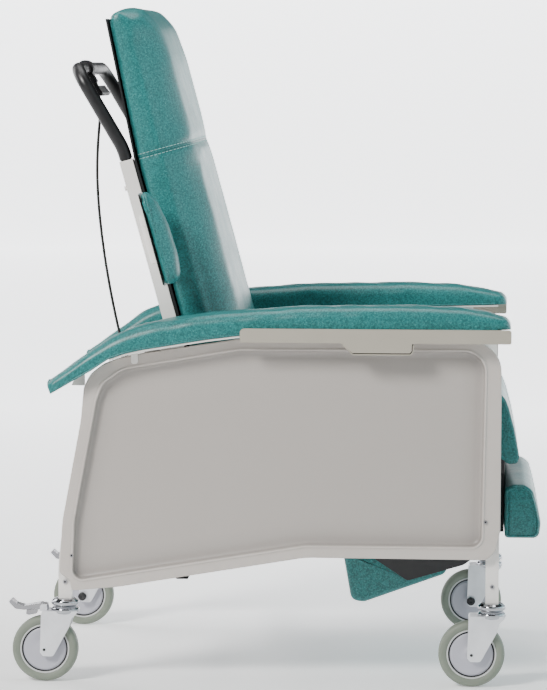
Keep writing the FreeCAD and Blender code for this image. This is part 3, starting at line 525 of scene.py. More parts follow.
def inflate(o, pins, cap, pressure=4.0, shrink=0.0, frames=20, even_out=14):
    """Lets a closed cover puff out against its stitched edges. pins: weight 0..1 for each vertex."""
    base = coords(o)
    vg = o.vertex_groups.new(name="pin")
    w = pins(base)
    for lev in np.unique(np.round(w, 1)):
        idx = np.where(np.round(w, 1) == lev)[0]
        if lev > 0:
            vg.add([int(i) for i in idx], float(lev), "REPLACE")
    m = o.modifiers.new("cloth", "CLOTH")
    st = m.settings
    st.quality = 6
    st.mass = 0.35
    st.tension_stiffness = 18
    st.compression_stiffness = 12
    st.shear_stiffness = 6
    st.bending_stiffness = 0.6
    st.use_pressure = True
    st.uniform_pressure_force = pressure
    st.effector_weights.gravity = 0.0
    st.vertex_group_mass = "pin"
    st.shrink_min = shrink
    m.point_cache.frame_start = 1
    m.point_cache.frame_end = frames
    sc = bpy.context.scene
    for f in range(1, frames + 1):
        sc.frame_set(f)
    dg = bpy.context.evaluated_depsgraph_get()
    ev = o.evaluated_get(dg).to_mesh()
    new = np.zeros(len(ev.vertices) * 3)
    ev.vertices.foreach_get("co", new)
    new = new.reshape(-1, 3)
    o.evaluated_get(dg).to_mesh_clear()
    o.modifiers.remove(m)
    sc.frame_set(1)
    d = new - base
    ed = np.zeros(len(o.data.edges) * 2, int)
    o.data.edges.foreach_get("vertices", ed)
    ed = ed.reshape(-1, 2)
    deg = np.bincount(ed.ravel(), minlength=len(base)).astype(float)[:, None] + 1e-9
    free = (1.0 - w)[:, None]
    for _ in range(even_out):
        acc = np.zeros_like(d)
        np.add.at(acc, ed[:, 0], d[ed[:, 1]])
        np.add.at(acc, ed[:, 1], d[ed[:, 0]])
        d = d + (acc / deg - d) * 0.6 * free
    ln = np.linalg.norm(d, axis=1)[:, None] + 1e-12
    d = d * np.minimum(1.0, cap / ln)
    set_coords(o, base + d)
    o.vertex_groups.clear()
    return o


def surface(o):
    bm = bmesh.new()
    bm.from_mesh(o.data)
    t = BVHTree.FromBMesh(bm)
    bm.free()
    return t


def snap(tree, pts, lift):
    out = []
    for p in pts:
        co, n, _, _ = tree.find_nearest(Vector(p))
        out.append(co + n * lift)
    return out


def stitches(name, pts, body, stitch=0.0048, gap=0.0026, r=0.00065, mat="thread"):
    """A row of short thread stitches along a line of surface points."""
    P = np.array([tuple(p) for p in pts], float)
    seg = np.linalg.norm(np.diff(P, axis=0), axis=1)
    s = np.r_[0, np.cumsum(seg)]
    verts, faces = [], []
    t = 0.002
    while t + stitch < s[-1]:
        a = np.array([np.interp(t, s, P[:, k]) for k in range(3)])
        b = np.array([np.interp(t + stitch, s, P[:, k]) for k in range(3)])
        d = (b - a) / (np.linalg.norm(b - a) + 1e-12)
        u = np.cross(d, (0.3, 0.5, 0.81)); u /= np.linalg.norm(u)
        v = np.cross(d, u)
        base = len(verts)
        for f, rr in ((0.0, 0.35), (0.2, 1.0), (0.8, 1.0), (1.0, 0.35)):
            for k in range(6):
                q = 2 * math.pi * k / 6
                verts.append(a + (b - a) * f + r * rr * (math.cos(q) * u + math.sin(q) * v))
        for i in range(3):
            for k in range(6):
                k2 = (k + 1) % 6
                faces.append((base + i * 6 + k, base + i * 6 + k2, base + (i + 1) * 6 + k2, base + (i + 1) * 6 + k))
        faces.append(tuple(base + k for k in range(6)))
        faces.append(tuple(base + 18 + k for k in range(6)))
        t += stitch + gap
    return piece(name, verts, faces, mat, body)


def smooth(x, a, b):
    t = np.clip((x - a) / (b - a), 0, 1)
    return t * t * (3 - 2 * t)


# ------------------------------------------------------------------ CAD nodes that stay as they are
for sub in frame["record"]["subparts"]:
    o = frame["nodes"][sub["node"]]
    o.data.materials.clear()
    o.data.materials.append(M[sub["material_slot"]])
    for p in o.data.polygons:
        p.use_smooth = True
    o.data.set_sharp_from_angle(angle=math.radians(32))
BEV = {"tray_rail_right": 0.0022, "tray_rail_left": 0.0022, "armrest_boards": 0.0010, "side_frame_right": 0.0016, "side_frame_left": 0.0016,
       "back_frame": 0.0016, "back_board": 0.0007, "seat_rails": 0.0010, "legrest_frame": 0.0010, "footrest_plates": 0.0010,
       "connecting_rods": 0.0010, "rear_cross_tube": 0.0010, "front_cross_tube": 0.0010, "middle_cross_tube": 0.0010, "lever_bracket": 0.0010,
       "release_lever": 0.0012, "wing_brackets": 0.0008, "wing_board_right": 0.0007, "wing_board_left": 0.0007, "legrest_boards": 0.0014,
       "armrest_brackets": 0.0008, "gas_spring_bracket": 0.0008, "brake_pedal_right": 0.0010, "brake_pedal_left": 0.0010, "panel_screws": 0.0006,
       "caster_fork_front_right": 0.0012, "caster_fork_front_left": 0.0012, "caster_fork_rear_right": 0.0012, "caster_fork_rear_left": 0.0012,
       "seat_board": 0.001}
for n, w in BEV.items():
    bevel(frame["nodes"][n], w)

# ------------------------------------------------------------------ side panels
OUTLINE = [(-356, 178.5, 5), (-263, 187.5, 150), (91, 247.3, 150), (436, 246.5, 12), (453, 264, 18),
           (461.5, 303, 30), (461.5, 661, 56), (200, 664, 60), (-33, 664.5, 80), (-217, 635.5, 60),
           (-264, 626, 60), (-293, 615, 45), (-318, 596, 45), (-331, 570, 25), (-337, 506, 120), (-373, 313, 150), (-379, 213, 4),
           (-358.5, 199, 3)]
DISH = [(-351.5, 200.5, 16), (91, 273.5, 120), (424, 274, 18), (429, 641.5, 38), (-34, 640, 60),
        (-255, 602, 44), (-293, 575, 34), (-304, 545, 60), (-347, 314, 120)]


def side_panel(name, side):
    outer = even(ccw(arcs(OUTLINE)), 0.006)
    dish = even(ccw(arcs(DISH, step=0.06)), 0.005)
    no, nd = normals2(outer), normals2(dish)
    face = 0.3355
    bm = bmesh.new()

    def loop_at(p2, y):
        return [bm.verts.new(tuple(v)) for v in plain(p2, side * y)]

    def strip(a, b):
        n = len(a)
        for i in range(n):
            bm.faces.new((a[i], a[(i + 1) % n], b[(i + 1) % n], b[i]))

    # outside: back edge, wall, rounded edge, then the rim face
    prev = loop_at(outer, 0.3256)
    back_outer = prev
    for ins, dy in ((0.0, 0.0022), (0.0004, 0.0011), (0.0013, 0.0003), (0.0026, 0.0)):
        cur = loop_at(outer - no * ins, face - dy)
        strip(prev, cur)
        prev = cur
    rim_out = prev
    prof = [(0.0080, 0.0), (0.0071, -0.0004), (0.0060, -0.0014), (0.0047, -0.0020), (0.0034, -0.0018), (0.0024, -0.0008), (0.0017, 0.0010), (0.0011, 0.0038),
            (0.0005, 0.0070), (-0.0004, 0.0094), (-0.0020, 0.0112), (-0.0044, 0.0124), (-0.0076, 0.0131), (-0.0108, 0.0135), (-0.0132, 0.01365)]
    prev = None
    for off, dy in prof:
        cur = loop_at(dish + nd * off, face - dy)
        if prev is None:
            rim_in = cur
        else:
            strip(prev, cur)
        prev = cur
    floor = prev
    # back of the moulding, one skin thickness behind
    prevb = None
    for off, dy in ((0.0095, 0.0099), (0.0030, 0.0099), (0.0010, 0.0112), (0.0, 0.0138), (-0.0012, 0.0145), (-0.006, 0.0145)):
        cur = loop_at(dish + nd * off, face - dy)
        if prevb is None:
            back_in = cur
        else:
            strip(prevb, cur)
        prevb = cur
    back_floor = prevb

    def edges_of(lp):
        es = []
        for i in range(len(lp)):
            e = bm.edges.get((lp[i], lp[(i + 1) % len(lp)]))
            es.append(e or bm.edges.new((lp[i], lp[(i + 1) % len(lp)])))
        return es

    bmesh.ops.triangle_fill(bm, use_beauty=True, edges=edges_of(rim_out) + edges_of(rim_in))
    bmesh.ops.triangle_fill(bm, use_beauty=True, edges=edges_of(back_outer) + edges_of(back_in))
    bm.faces.new(floor)
    bm.faces.new(back_floor)
    bmesh.ops.recalc_face_normals(bm, faces=bm.faces)
    me = bpy.data.meshes.new(name)
    bm.to_mesh(me)
    bm.free()
    for p in me.polygons:
        p.use_smooth = True
    me.materials.append(M["panel_plastic"])
    o = link(bpy.data.objects.new(name, me))
    w = o.modifiers.new("normals", "WEIGHTED_NORMAL")
    w.weight = 80
    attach(o, "base")
    return o


for nm, s in (("right", -1), ("left", 1)):
    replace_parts(side_panel("panel_" + nm, s), "side_panel_" + nm)

# bead under the stepped lip of each armrest rail, with a black strip behind it as painted shadow in the gap
for nm, s in (("right", -1), ("left", 1)):
    line = even(arcs([(163.5, 657.5), (181.5, 639.6, 4), (290.5, 639.6, 4), (295.2, 646, 3), (295.6, 658.5)], closed=False), 0.003, closed=False)
    tube("rail_bead_" + nm, [tuple(v) for v in plain(line, s * 0.3735)], 0.0013, "rail_plastic", "base", sides=8)
    # black tube behind the bead: painted shadow in the gap under the lip
    gap = even(arcs([(165, 659.3), (182.3, 641.6, 4), (289.5, 641.6, 4), (293.6, 647, 3), (294.1, 659.5)], closed=False), 0.003, closed=False)
    tube("rail_gap_shadow_" + nm, [tuple(v) for v in plain(gap, s * 0.3722)], 0.0014, "black_board", "base", sides=6)

# ------------------------------------------------------------------ back cushion with its head section
BACK = [(20.8, -38, 6), (92, -74, 12), (116, -40, 60), (122.5, 10, 80), (124.5, 300, 400), (125, 520, 400), (125.5, 690, 90), (120.5, 757, 70), (100, 804.5, 46),
        (70, 816, 44), (38.6, 805, 7), (37, 770, 60), (21.6, 520, 60)]
back = pillow("back_upholstery", arcs(BACK), -0.2435, 0.2435, 0.076, backp, "teal_vinyl", None,
              weight=lambda p: (0.10 + 0.90 * smooth(p[:, 0] - 0.067 * np.maximum(p[:, 1] - 0.526, 0), 0.030, 0.075)) * (1 - 0.45 * smooth(p[:, 1], 0.735, 0.795)), crown=lambda p: 0.005 * smooth(p[:, 0], 0.08, 0.120),
              bulge=0.002, ny=40, ds=0.009)
remesh(back, 0.0065)


def to_back(a):
    dx, dz = a[:, 0] + 0.119 + SHIFT, a[:, 2] - 0.490
    return np.stack([dx * CT + dz * ST, a[:, 1], -dx * ST + dz * CT], axis=1)


def back_pins(a):
    q = to_back(a)
    w = 1 - smooth(q[:, 0], 0.024, 0.050)
    w = np.maximum(w, 0.7 * (1 - smooth(np.abs(q[:, 2] - 0.527), 0.005, 0.024)))
    return w


inflate(back, back_pins, 0.0034, pressure=3.0, even_out=90)
# the sewn joint between back and head: a shallow valley with short gathers running out of it
q = to_back(coords(back))
nrm = vnormals(back)
front = smooth(q[:, 0], 0.026, 0.045)
dz = q[:, 2] - 0.527
arc = q[:, 0] * 0.9 + np.sign(q[:, 1]) * 0.0 + q[:, 1] * 1.0
phase = 0.6 * np.sin(q[:, 1] * 31 + 1.3) + 0.5 * np.sin(q[:, 0] * 57 + 0.4)
gather = np.sin(arc * 2 * math.pi / 0.021 + phase * 3.0) * np.exp(-np.abs(dz) / 0.016) * (0.45 + 0.55 * np.sin(arc * 23 + 0.7))
side_amt = 0.5 + 0.9 * np.exp(-((q[:, 0] - 0.045) / 0.03) ** 2)
valley = -0.0023 * np.exp(-(dz / 0.0055) ** 2) + 0.0005 * np.exp(-((np.abs(dz) - 0.022) / 0.013) ** 2)
slack = 0.0007 * np.sin(q[:, 2] * 38 + 3 * np.sin(q[:, 1] * 9)) * np.sin(q[:, 1] * 13 + 1.0) * smooth(q[:, 0], 0.09, 0.125)
set_coords(back, coords(back) + nrm * (front * (valley + 0.0008 * gather * side_amt) + slack)[:, None])
sub = back.modifiers.new("sub", "SUBSURF"); sub.levels = 1; sub.render_levels = 1
apply_all(back)
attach(back, "back")
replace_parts(back, "back_cushion", "headrest_cushion")
tree = surface(back)


def around_back(z, x0=24.0):
    """Points on the cover at one height, from the rear edge on the right, round the front, to the rear edge on the left."""
    pts = []
    probes = [(x, -330.0, (0, 1)) for x in np.linspace(x0, 92, 60)]
    for a in np.linspace(0, 90, 40)[1:-1]:
        r = math.radians(a)
        probes.append((88 + 120 * math.sin(r), -196 - 120 * math.cos(r), (-math.sin(r), math.cos(r))))
    probes += [(300.0, y, (-1, 0)) for y in np.linspace(-192, 192, 160)]
    probes += [(x, -y, (d[0], -d[1])) for x, y, d in probes[:98][::-1]]
    for x, y, d in probes:
        o = backpt(x, y, z)
        v = backpt(x + d[0], y + d[1], z) - o
        hit, n, _, _ = tree.ray_cast(o, v.normalized())
        if hit is not None:
            pts.append(hit + n * 0.0007)
    return pts


for i, z in enumerate((531.5, 522.5)):
    stitches("back_stitch_%d" % i, around_back(z), "back", 0.0062, 0.0018, 0.00075)
seam = tube("back_seam", around_back(527.0), 0.0011, "teal_vinyl", "back", sides=8)

# welt along the rear edge of the cover
for nm, s in (("right", -1), ("left", 1)):
    pts = []
    for z in np.linspace(-20, 790, 220):
        o = backpt(25.0 + max(0.0, z - 524) * 0.068, s * 330, z)
        hit, n, _, _ = tree.ray_cast(o, Vector((0, -s, 0)))
        if hit is not None:
            pts.append(hit + n * 0.0006)
    tube("back_welt_" + nm, pts, 0.0022, "teal_vinyl", "back", sides=8)

# ------------------------------------------------------------------ armrest pads
TOP = even(arcs([(478.5, 696), (472, 704, 14), (434, 713, 120), (380, 721.5, 200), (269, 725, 300), (80, 721.5, 300), (-88, 709, 300),
                 (-178, 695, 200), (-226, 684, 120), (-283, 660, 120), (-348, 613, 120), (-399, 576)], closed=False), 0.004, closed=False)
LOW = even(arcs([(-392, 558.5), (-353, 581.5, 100), (-315, 603, 100), (-281, 626, 60), (-250, 637, 60),
                 (-217, 644.5, 120), (-97, 664.5, 200), (-31, 673, 200), (477.5, 687.3)], closed=False), 0.004, closed=False)


def armrest(name, side):
    xs = np.r_[np.linspace(-0.3990, -0.380, 16), np.linspace(-0.380, 0.455, 150)[1:], np.linspace(0.455, 0.4785, 18)[1:]]
    zt = np.interp(xs, TOP[::-1, 0], TOP[::-1, 1])
    zb = np.interp(xs, LOW[:, 0], LOW[:, 1], left=None)
    zb = np.where(xs < -0.392, 0.5585 + (-0.392 - xs) * 2.3, zb)
    zt = zt + 0.0005
    verts, faces = [], []
    k = 72
    y_in, y_out = 0.2690, 0.3650
    for i, x in enumerate(xs):
        h = max(0.004, zt[i] - zb[i])
        # round both ends in plan and in height
        fe = 1.0
        e0, e1 = (x + 0.3990) / 0.014, (0.4785 - x) / 0.018
        for e in (e0, e1):
            if e < 1:
                fe = min(fe, math.sqrt(max(0.0, 1 - (1 - e) ** 2)))
        inset = (1 - fe) * (0.014 if e0 < 1 else 0.018)
        h = h * (0.60 + 0.40 * fe) if e1 < 1 else h
        base = zb[i]
        a, b = y_in + inset, y_out - inset
        w = b - a
        rt = min(0.019, 0.62 * h, w * 0.45)
        rb = min(0.0035, 0.2 * h)
        sec = arcs([(a * 1000, base * 1000, rb * 1000), (b * 1000, base * 1000, rb * 1000), (b * 1000, (base + h) * 1000, rt * 1000),
                    (a * 1000, (base + h) * 1000, rt * 1000)], step=0.12)
        sec = even(sec, (2 * (w + h)) / k)
        t = np.linspace(0, len(sec), k, endpoint=False)
        sec = np.stack([np.interp(t, np.arange(len(sec) + 1), np.r_[sec[:, c], sec[:1, c]]) for c in range(2)], axis=1)
        u = (sec[:, 0] - (a + b) / 2) / (w / 2)
        up = smooth((sec[:, 1] - base) / h, 0.55, 0.95)
        sec[:, 1] += up * (1 - u ** 2) * 0.0042
        for y, z in sec:
            verts.append((x - SHIFT, side * y, z))
    m = len(xs)
    for j in range(m - 1):
        for i in range(k):
            a, b = j * k + i, j * k + (i + 1) % k
            faces.append((a, b, b + k, a + k))
    faces.append(tuple(range(k)))
    faces.append(tuple(range((m - 1) * k, m * k)))
    o = piece(name, verts, faces, "teal_vinyl", None)
    c = coords(o)
    n = vnormals(o)
    wob = 0.0007 * np.sin(c[:, 0] * 41 + c[:, 1] * 23) * np.sin(c[:, 0] * 17 + 1.1) + 0.0004 * np.sin(c[:, 0] * 97 + 2 * np.sin(c[:, 1] * 40))
    set_coords(o, c + n * (wob * smooth(n[:, 2], -0.2, 0.5))[:, None])
    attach(o, "base")
    return o


for nm, s in (("right", -1), ("left", 1)):
    o = armrest("armrest_cover_" + nm, s)
    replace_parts(o, "armrest_pad_" + nm)
    # welt where the cover is tacked to its board, along the outer and inner edges
    for edge_nm, y in (("outer", 0.3650), ("inner", 0.2690)):
        pts = [(x - SHIFT, s * y, z + 0.0022) for x, z in LOW[6:-6]]
        tube("armrest_welt_%s_%s" % (edge_nm, nm), pts, 0.0018, "teal_vinyl", "base", sides=8)

# ------------------------------------------------------------------ seat
seat = pillow("seat_upholstery", arcs([(28, 426.5, 8), (376, 488.0, 8), (380, 560, 30), (352, 567, 60), (60, 515, 60), (27, 500, 26)]), -0.2465, 0.2465, 0.030, plain,
              "teal_vinyl", None, weight=lambda p: 0.15 + 0.85 * smooth(p[:, 1] - 0.178 * p[:, 0], 0.44, 0.48),
              crown=lambda p: 0.008 * smooth(p[:, 1] - 0.178 * p[:, 0], 0.46, 0.495), bulge=0.001, ny=36, ds=0.009)
remesh(seat, 0.0065)
inflate(seat, lambda a: 1 - smooth(a[:, 2] - 0.178 * (a[:, 0] + SHIFT), 0.435, 0.47), 0.010, pressure=3.0, even_out=40)
c = coords(seat); n = vnormals(seat)
set_coords(seat, c + n * (0.0012 * np.sin(c[:, 0] * 33 + 2 * np.sin(c[:, 1] * 11)) * np.sin(c[:, 1] * 17 + 0.6) * smooth(n[:, 2], 0.5, 0.9))[:, None])
sub = seat.modifiers.new("sub", "SUBSURF"); sub.levels = 1; sub.render_levels = 1
apply_all(seat)
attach(seat, "base"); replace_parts(seat, "seat_cushion")
seat_tree = surface(seat)
for i, up in enumerate((0.060, 0.018)):
    pts = []
    loop = [(x, -0.33, (0, 1)) for x in np.linspace(0.040, 0.350, 70)] + [(0.46, y, (-1, 0)) for y in np.linspace(-0.225, 0.225, 100)] \
        + [(x, 0.33, (0, -1)) for x in np.linspace(0.350, 0.040, 70)]
    for x, y, d in loop:
        z = 0.4215 + 0.178 * min(x, 0.378) + up
        hit, nn, _, _ = seat_tree.ray_cast(Vector((x - SHIFT, y, z)), Vector((d[0], d[1], 0)))
        if hit is not None:
            pts.append(hit + nn * 0.0006)
    tube("seat_welt_%d" % i, pts, 0.0028, "teal_vinyl", "base", sides=8)

# inner side pads
for nm, s in (("right", -1), ("left", 1)):
    o = pillow("side_pad_" + nm, arcs([(-68, 457, 22), (398, 538, 22), (418, 562, 22), (418, 646, 26), (-68, 638, 26)]), s * 0.2605, s * 0.2915, 0.013, plain,
               "teal_vinyl", None, bulge=0.0015, ny=4, ds=0.010, rings=10)
    remesh(o, 0.0075)
    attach(o, "base")
    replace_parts(o, "inner_side_pad_" + nm)

# ------------------------------------------------------------------ wing pads
WING = [(21.0, 282, 9), (36, 279, 11), (50, 291, 22), (55.5, 330, 60), (53, 390, 120), (44, 440, 60), (35, 459, 12), (21.0, 461, 9)]
for nm, s in (("right", -1), ("left", 1)):
    o = pillow("wing_cover_" + nm, arcs(WING), s * 0.3020, s * 0.3720, 0.024, backp, "teal_vinyl", None,
               weight=lambda p: 0.35 + 0.65 * smooth(p[:, 0], 0.024, 0.045), crown=lambda p: 0.003 * smooth(p[:, 0], 0.03, 0.05), bulge=0.0050, ny=10, ds=0.005)
    remesh(o, 0.0032)
    c = coords(o); n = vnormals(o); q = to_back(c)
    set_coords(o, c + n * (0.0005 * np.sin(q[:, 2] * 160 + 3 * np.sin(q[:, 1] * 60)) * np.exp(-((q[:, 0] - 0.030) / 0.008) ** 2))[:, None])
    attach(o, "wing_" + nm)
    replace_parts(o, "wing_pad_" + nm)
    t = surface(o)
    pts = []
    for z in np.linspace(284, 457, 90):
        hit, nn, _, _ = t.ray_cast(backpt(31.5, s * 420, z), Vector((0, -s, 0)))
        if hit is not None:
            pts.append(hit + nn * 0.0006)
    tube("wing_welt_" + nm, pts, 0.0017, "teal_vinyl", "wing_" + nm, sides=8)
    tube("wing_edge_" + nm, [backpt(20.7, s * 373.4, z) for z in np.linspace(283, 459, 40)], 0.0015, "black_board", "wing_" + nm, sides=8)
    # black strip along the board edge between upright and cover: painted shade in the gap between the parts
    pillow("back_gap_shade_" + nm, arcs([(13.1, 86, 0.4), (16.1, 86, 0.4), (16.1, 521, 0.4), (13.1, 521, 0.4)]), s * 0.2170, s * 0.2395, 0.0003, backp, "black_board", "back", ny=2, ds=0.003, rings=0)
    tube("back_bolt_" + nm, [backpt(x, s * 228, 475) for x in (-13.05, -15.0, -17.6)], 0.0046, "frame_paint", "back", sides=20)

# ------------------------------------------------------------------ leg rest
LX, LZ = 430.0, 520.0
NX, NZ, DX, DZ = 0.9637, 0.2670, 0.2670, -0.9637


def leg(n, t):
    return (LX + n * NX + t * DX, LZ + n * NZ + t * DZ)


def on_roll(r, deg):
    return (LX + r * math.cos(math.radians(deg)), LZ + r * math.sin(math.radians(deg)))


calf_prof = [on_roll(19.5, 97) + (3,), on_roll(44.5, 96) + (9,)] + [on_roll(46.3, a) + (24,) for a in (78, 52, 28)] + [leg(47, 8) + (40,), leg(46.5, 52) + (150,), leg(42, 104) + (12,), leg(35, 115) + (7,),
                                                                                       leg(20, 111.5) + (5,), leg(19, 10) + (12,)] + [on_roll(19.2, a) + (10,) for a in (40, 70)]
calf = pillow("calf_cover", arcs(calf_prof), -0.2345, 0.2345, 0.018, plain, "teal_vinyl", "legrest",
              crown=lambda p: np.zeros(len(p)), bulge=0.001, ny=40, ds=0.005, rings=0)
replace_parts(calf, "calf_pad")
# side flaps of the cover, which close the ends over the board
flap = [on_roll(18, 97) + (2,), on_roll(44.0, 96) + (9,)] + [on_roll(46.0, a) + (24,) for a in (78, 52, 28)] + [
    leg(46.7, 8) + (40,), leg(46.2, 52) + (150,), leg(41.8, 103.5) + (12,), leg(35, 114.4) + (7,), leg(18, 111) + (5,), leg(5, 97) + (5,), leg(5, 30) + (8,), leg(14, 10) + (8,)]
for nm, s in (("right", -1), ("left", 1)):
    o = pillow("calf_flap_" + nm, arcs(flap), s * 0.2262, s * 0.2348, 0.0055, plain, "teal_vinyl", "legrest", bulge=0.0006, ny=3, ds=0.004, rings=0)
low_prof = [(470.5, 371, 5), (486, 377, 24), (508, 378, 20), (525, 366.5, 18), (533.2, 338, 60), (540.4, 305, 18), (537.2, 274, 13), (471, 274, 6)]
lowp = pillow("lower_leg_cover", arcs(low_prof), -0.2345, 0.2345, 0.009, plain, "teal_vinyl", "legrest", bulge=0.0012, ny=40, ds=0.005, rings=0)
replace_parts(lowp, "lower_leg_pad")
# welts round the end panels of the lower pad
lo_tree = surface(lowp)
ring2 = even(ccw(arcs([(474, 366, 4), (487, 372, 20), (506, 372.5, 17), (520.5, 362.5, 15), (528.3, 337, 55), (535.3, 306, 14), (532.4, 279, 10), (475, 278.5, 5)])), 0.004)
for nm, s in (("right", -1), ("left", 1)):
    pts = snap(lo_tree, [tuple(v) for v in plain(ring2, s * 0.2345)], 0.0004)
    tube("lower_leg_welt_" + nm, pts, 0.0021, "teal_vinyl", "legrest", closed=True, sides=8)

# black hinge straps between the two leg pads
for nm, s in (("right", -1), ("left", 1)):
    box_piece("leg_strap_" + nm, (0.4625 - SHIFT, min(s * 0.2245, s * 0.2330), 0.400), (0.4700 - SHIFT, max(s * 0.2245, s * 0.2330), 0.437), "black_steel", "legrest")

# ------------------------------------------------------------------ footrest
foot_prof = [(157.5, 242, 6), (175, 144, 20), (199.5, 140.5, 14), (356.5, 197.5, 14), (362, 212, 10), (340, 259, 8)]
foot = pillow("foot_cover", arcs(foot_prof), -0.2045, 0.2045, 0.010, plain, "teal_vinyl", "footrest", bulge=0.0012, ny=36, ds=0.006, rings=0)
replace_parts(foot, "footrest_pad")

# ------------------------------------------------------------------ casters
SPOT = {"front_right": (0.4155, -0.310), "front_left": (0.4155, 0.310), "rear_right": (-0.4020, -0.310), "rear_left": (-0.4020, 0.310)}
TYRE = [(-12.5, 46.6), (-13.6, 47.6), (-14.6, 50), (-15.6, 52.5), (-15.9, 55), (-15.5, 57.5), (-14.2, 60), (-12.2, 61.9), (-9, 63.0), (-4, 63.45), (4, 63.45),
        (9, 63.0), (12.2, 61.9), (14.2, 60), (15.5, 57.5), (15.9, 55), (15.6, 52.5), (14.6, 50), (13.6, 47.6), (12.5, 46.6)]
DISC = [(-18.5, 5.05), (-18.5, 11), (-15.5, 13), (-13.2, 17), (-12.6, 24), (-12.2, 36), (-12.0, 42.3), (-9.0, 42.6), (9.0, 42.6), (12.0, 42.3), (12.2, 36), (12.6, 24),
        (13.2, 17), (15.5, 13), (18.5, 11), (18.5, 5.05)]
RINGB = [(-12.5, 41.5), (-12.6, 44.6), (12.6, 44.6), (12.5, 41.5)]
RIML = [(-10, 44.2), (-13.1, 44.4), (-13.9, 45.2), (-13.9, 46.6), (-12.8, 48.2), (-10, 48.4), (10, 48.4), (12.8, 48.2), (13.9, 46.6), (13.9, 45.2), (13.1, 44.4), (10, 44.2)]
for c4, (sx, sy) in SPOT.items():
    ctr = (sx - 0.0383, sy, 0.0635)
    t = lathe("tyre_" + c4, TYRE, ctr, "tyre_rubber", "wheel_" + c4, 96)
    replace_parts(t, "caster_tyre_" + c4)
    d = lathe("hub_disc_" + c4, DISC, ctr, "hub_plastic", "wheel_" + c4, 96)
    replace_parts(d, "caster_hub_" + c4)
    lathe("hub_ring_" + c4, RINGB, ctr, "rim_black", "wheel_" + c4, 96)
    lathe("hub_rim_" + c4, RIML, ctr, "rim_light", "wheel_" + c4, 96)

# plated races of the swivel: the upper one stays with the leg, the lower one turns with the fork
RACE_UP = arcs([(22.0, 149.0), (22.4, 147.15, 0.5), (26.9, 149.85, 4), (26.9, 156.15, 4), (22.4, 159.95, 0.5), (22.0, 158.0)])
RACE_LOW = arcs([(22.0, 133.5), (22.4, 131.55, 0.5), (27.3, 134.35, 4), (27.3, 141.65, 4), (22.4, 145.15, 0.5), (22.0, 143.0)])


def race(name, prof, cx, cy, body, steps=96):
    verts, faces, n = [], [], len(prof)
    for k in range(steps):
        a = 2 * math.pi * k / steps
        verts += [(cx + r * math.cos(a), cy + r * math.sin(a), z) for r, z in prof]
        k2 = (k + 1) % steps
        faces += [(k * n + i, k * n + (i + 1) % n, k2 * n + (i + 1) % n, k2 * n + i) for i in range(n)]
    return piece(name, verts, faces, "chrome", body)


for c4, (sx, sy) in SPOT.items():
    race("race_upper_" + c4, RACE_UP, sx, sy, "base")
    race("race_lower_" + c4, RACE_LOW, sx, sy, "swivel_" + c4)

# dark caps on the inner ends of the axles
for c4, (sx, sy) in SPOT.items():
    d = -1 if sy > 0 else 1
    prof = [(d * 29.2, 0.05), (d * 29.2, 8.7), (d * 33.2, 8.7), (d * 35.0, 6.8), (d * 35.0, 0.05)]
    lathe("axle_cap_" + c4, prof, (sx - 0.0383, sy, 0.0635), "rim_black", "swivel_" + c4, 40)

# black discs in the rivet ends of the axles and in the screw heads, as painted shade in their sockets
def shade_socket(name, x, y, z, side, r, body):
    lathe(name, [(side * 0.0, 0.05), (side * 0.0, r), (side * 0.35, r * 0.92), (side * 0.35, 0.05)], (x - SHIFT, y, z), "rim_black", body, 24)


for c4, (sx, sy) in SPOT.items():
    d = -1 if sy < 0 else 1
    shade_socket("axle_socket_shade_" + c4, sx + SHIFT - 0.0383, sy + d * 0.0246, 0.0635, d, 2.9, "swivel_" + c4)
for i, (x, z, y) in enumerate([(-0.355, 0.2468, 0.3378), (0.4335, 0.3196, 0.3378), (0.447, 0.1935, 0.3223), (-0.3695, 0.1935, 0.3223)]):
    for nm, d in (("right", -1), ("left", 1)):
        shade_socket("screw_socket_shade_%d_%s" % (i, nm), x, d * y, z, d, 1.9, "base")

# ------------------------------------------------------------------ control cable
CABLE = [(-338.9, -94, 1143.1), (-325.5, -94, 1120), (-326, -94, 1078), (-331, -93, 1022), (-332.5, -92, 962),
         (-329.5, -89, 900), (-323.5, -83, 838), (-314.5, -75, 770), (-303.5, -66, 705), (-290.5, -56, 640),
         (-272.5, -46, 580), (-248.5, -37, 528), (-222, -30, 490), (-204.5, -25, 466), (-197.3, -23, 443.4)]
cu = bpy.data.curves.new("control_cable", "CURVE")
cu.dimensions = "3D"
cu.bevel_depth = 0.0028
cu.bevel_resolution = 5
cu.resolution_u = 10
cu.use_fill_caps = True
sp = cu.splines.new("NURBS")
sp.points.add(len(CABLE) - 1)
for pnt, (x, y, z) in zip(sp.points, CABLE):
    pnt.co = (x / 1000 - SHIFT, y / 1000, z / 1000, 1.0)
sp.order_u = 3
sp.use_endpoint_u = True
cu.materials.append(M["grip_rubber"])
cable = link(bpy.data.objects.new("control_cable", cu))
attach(cable, "back"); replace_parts(cable, "release_cable")

# ------------------------------------------------------------------ stage, lights, camera
fm, nt, bs, vec = new_mat("floor")
nt.links.new(mixc(nt, remap(nt, noise(nt, vec, 3.0, 2.0), 0.3, 0.7, 0.0, 1.0), (0.90, 0.90, 0.90), (0.92, 0.92, 0.92)), bs.inputs["Base Color"])
bs.inputs["Roughness"].default_value = 0.6
bs.inputs["Emission Color"].default_value = (0.97, 0.98, 1.0, 1.0)
sx = nt.nodes.new("ShaderNodeSeparateXYZ")
nt.links.new(vec, sx.inputs[0])
nt.links.new(remap(nt, sx.outputs["Y"], -0.8, 4.5, 0.0, 2.9), bs.inputs["Emission Strength"])
rad = [(r, 0.0) for r in (0.6, 1.4, 2.4, 3.6, 5.0, 7.0, 10.0, 14.0)] + [(14.0 + 2.0 * math.sin(a), 2.0 * (1 - math.cos(a))) for a in np.linspace(0, math.pi / 2, 13)[1:]] + [(16.0, 2.6)]
seg = 96
fv, ff = [(0.0, 0.0, 0.0)], []
for r, z in rad:
    fv += [(r * math.cos(2 * math.pi * k / seg), r * math.sin(2 * math.pi * k / seg), z) for k in range(seg)]
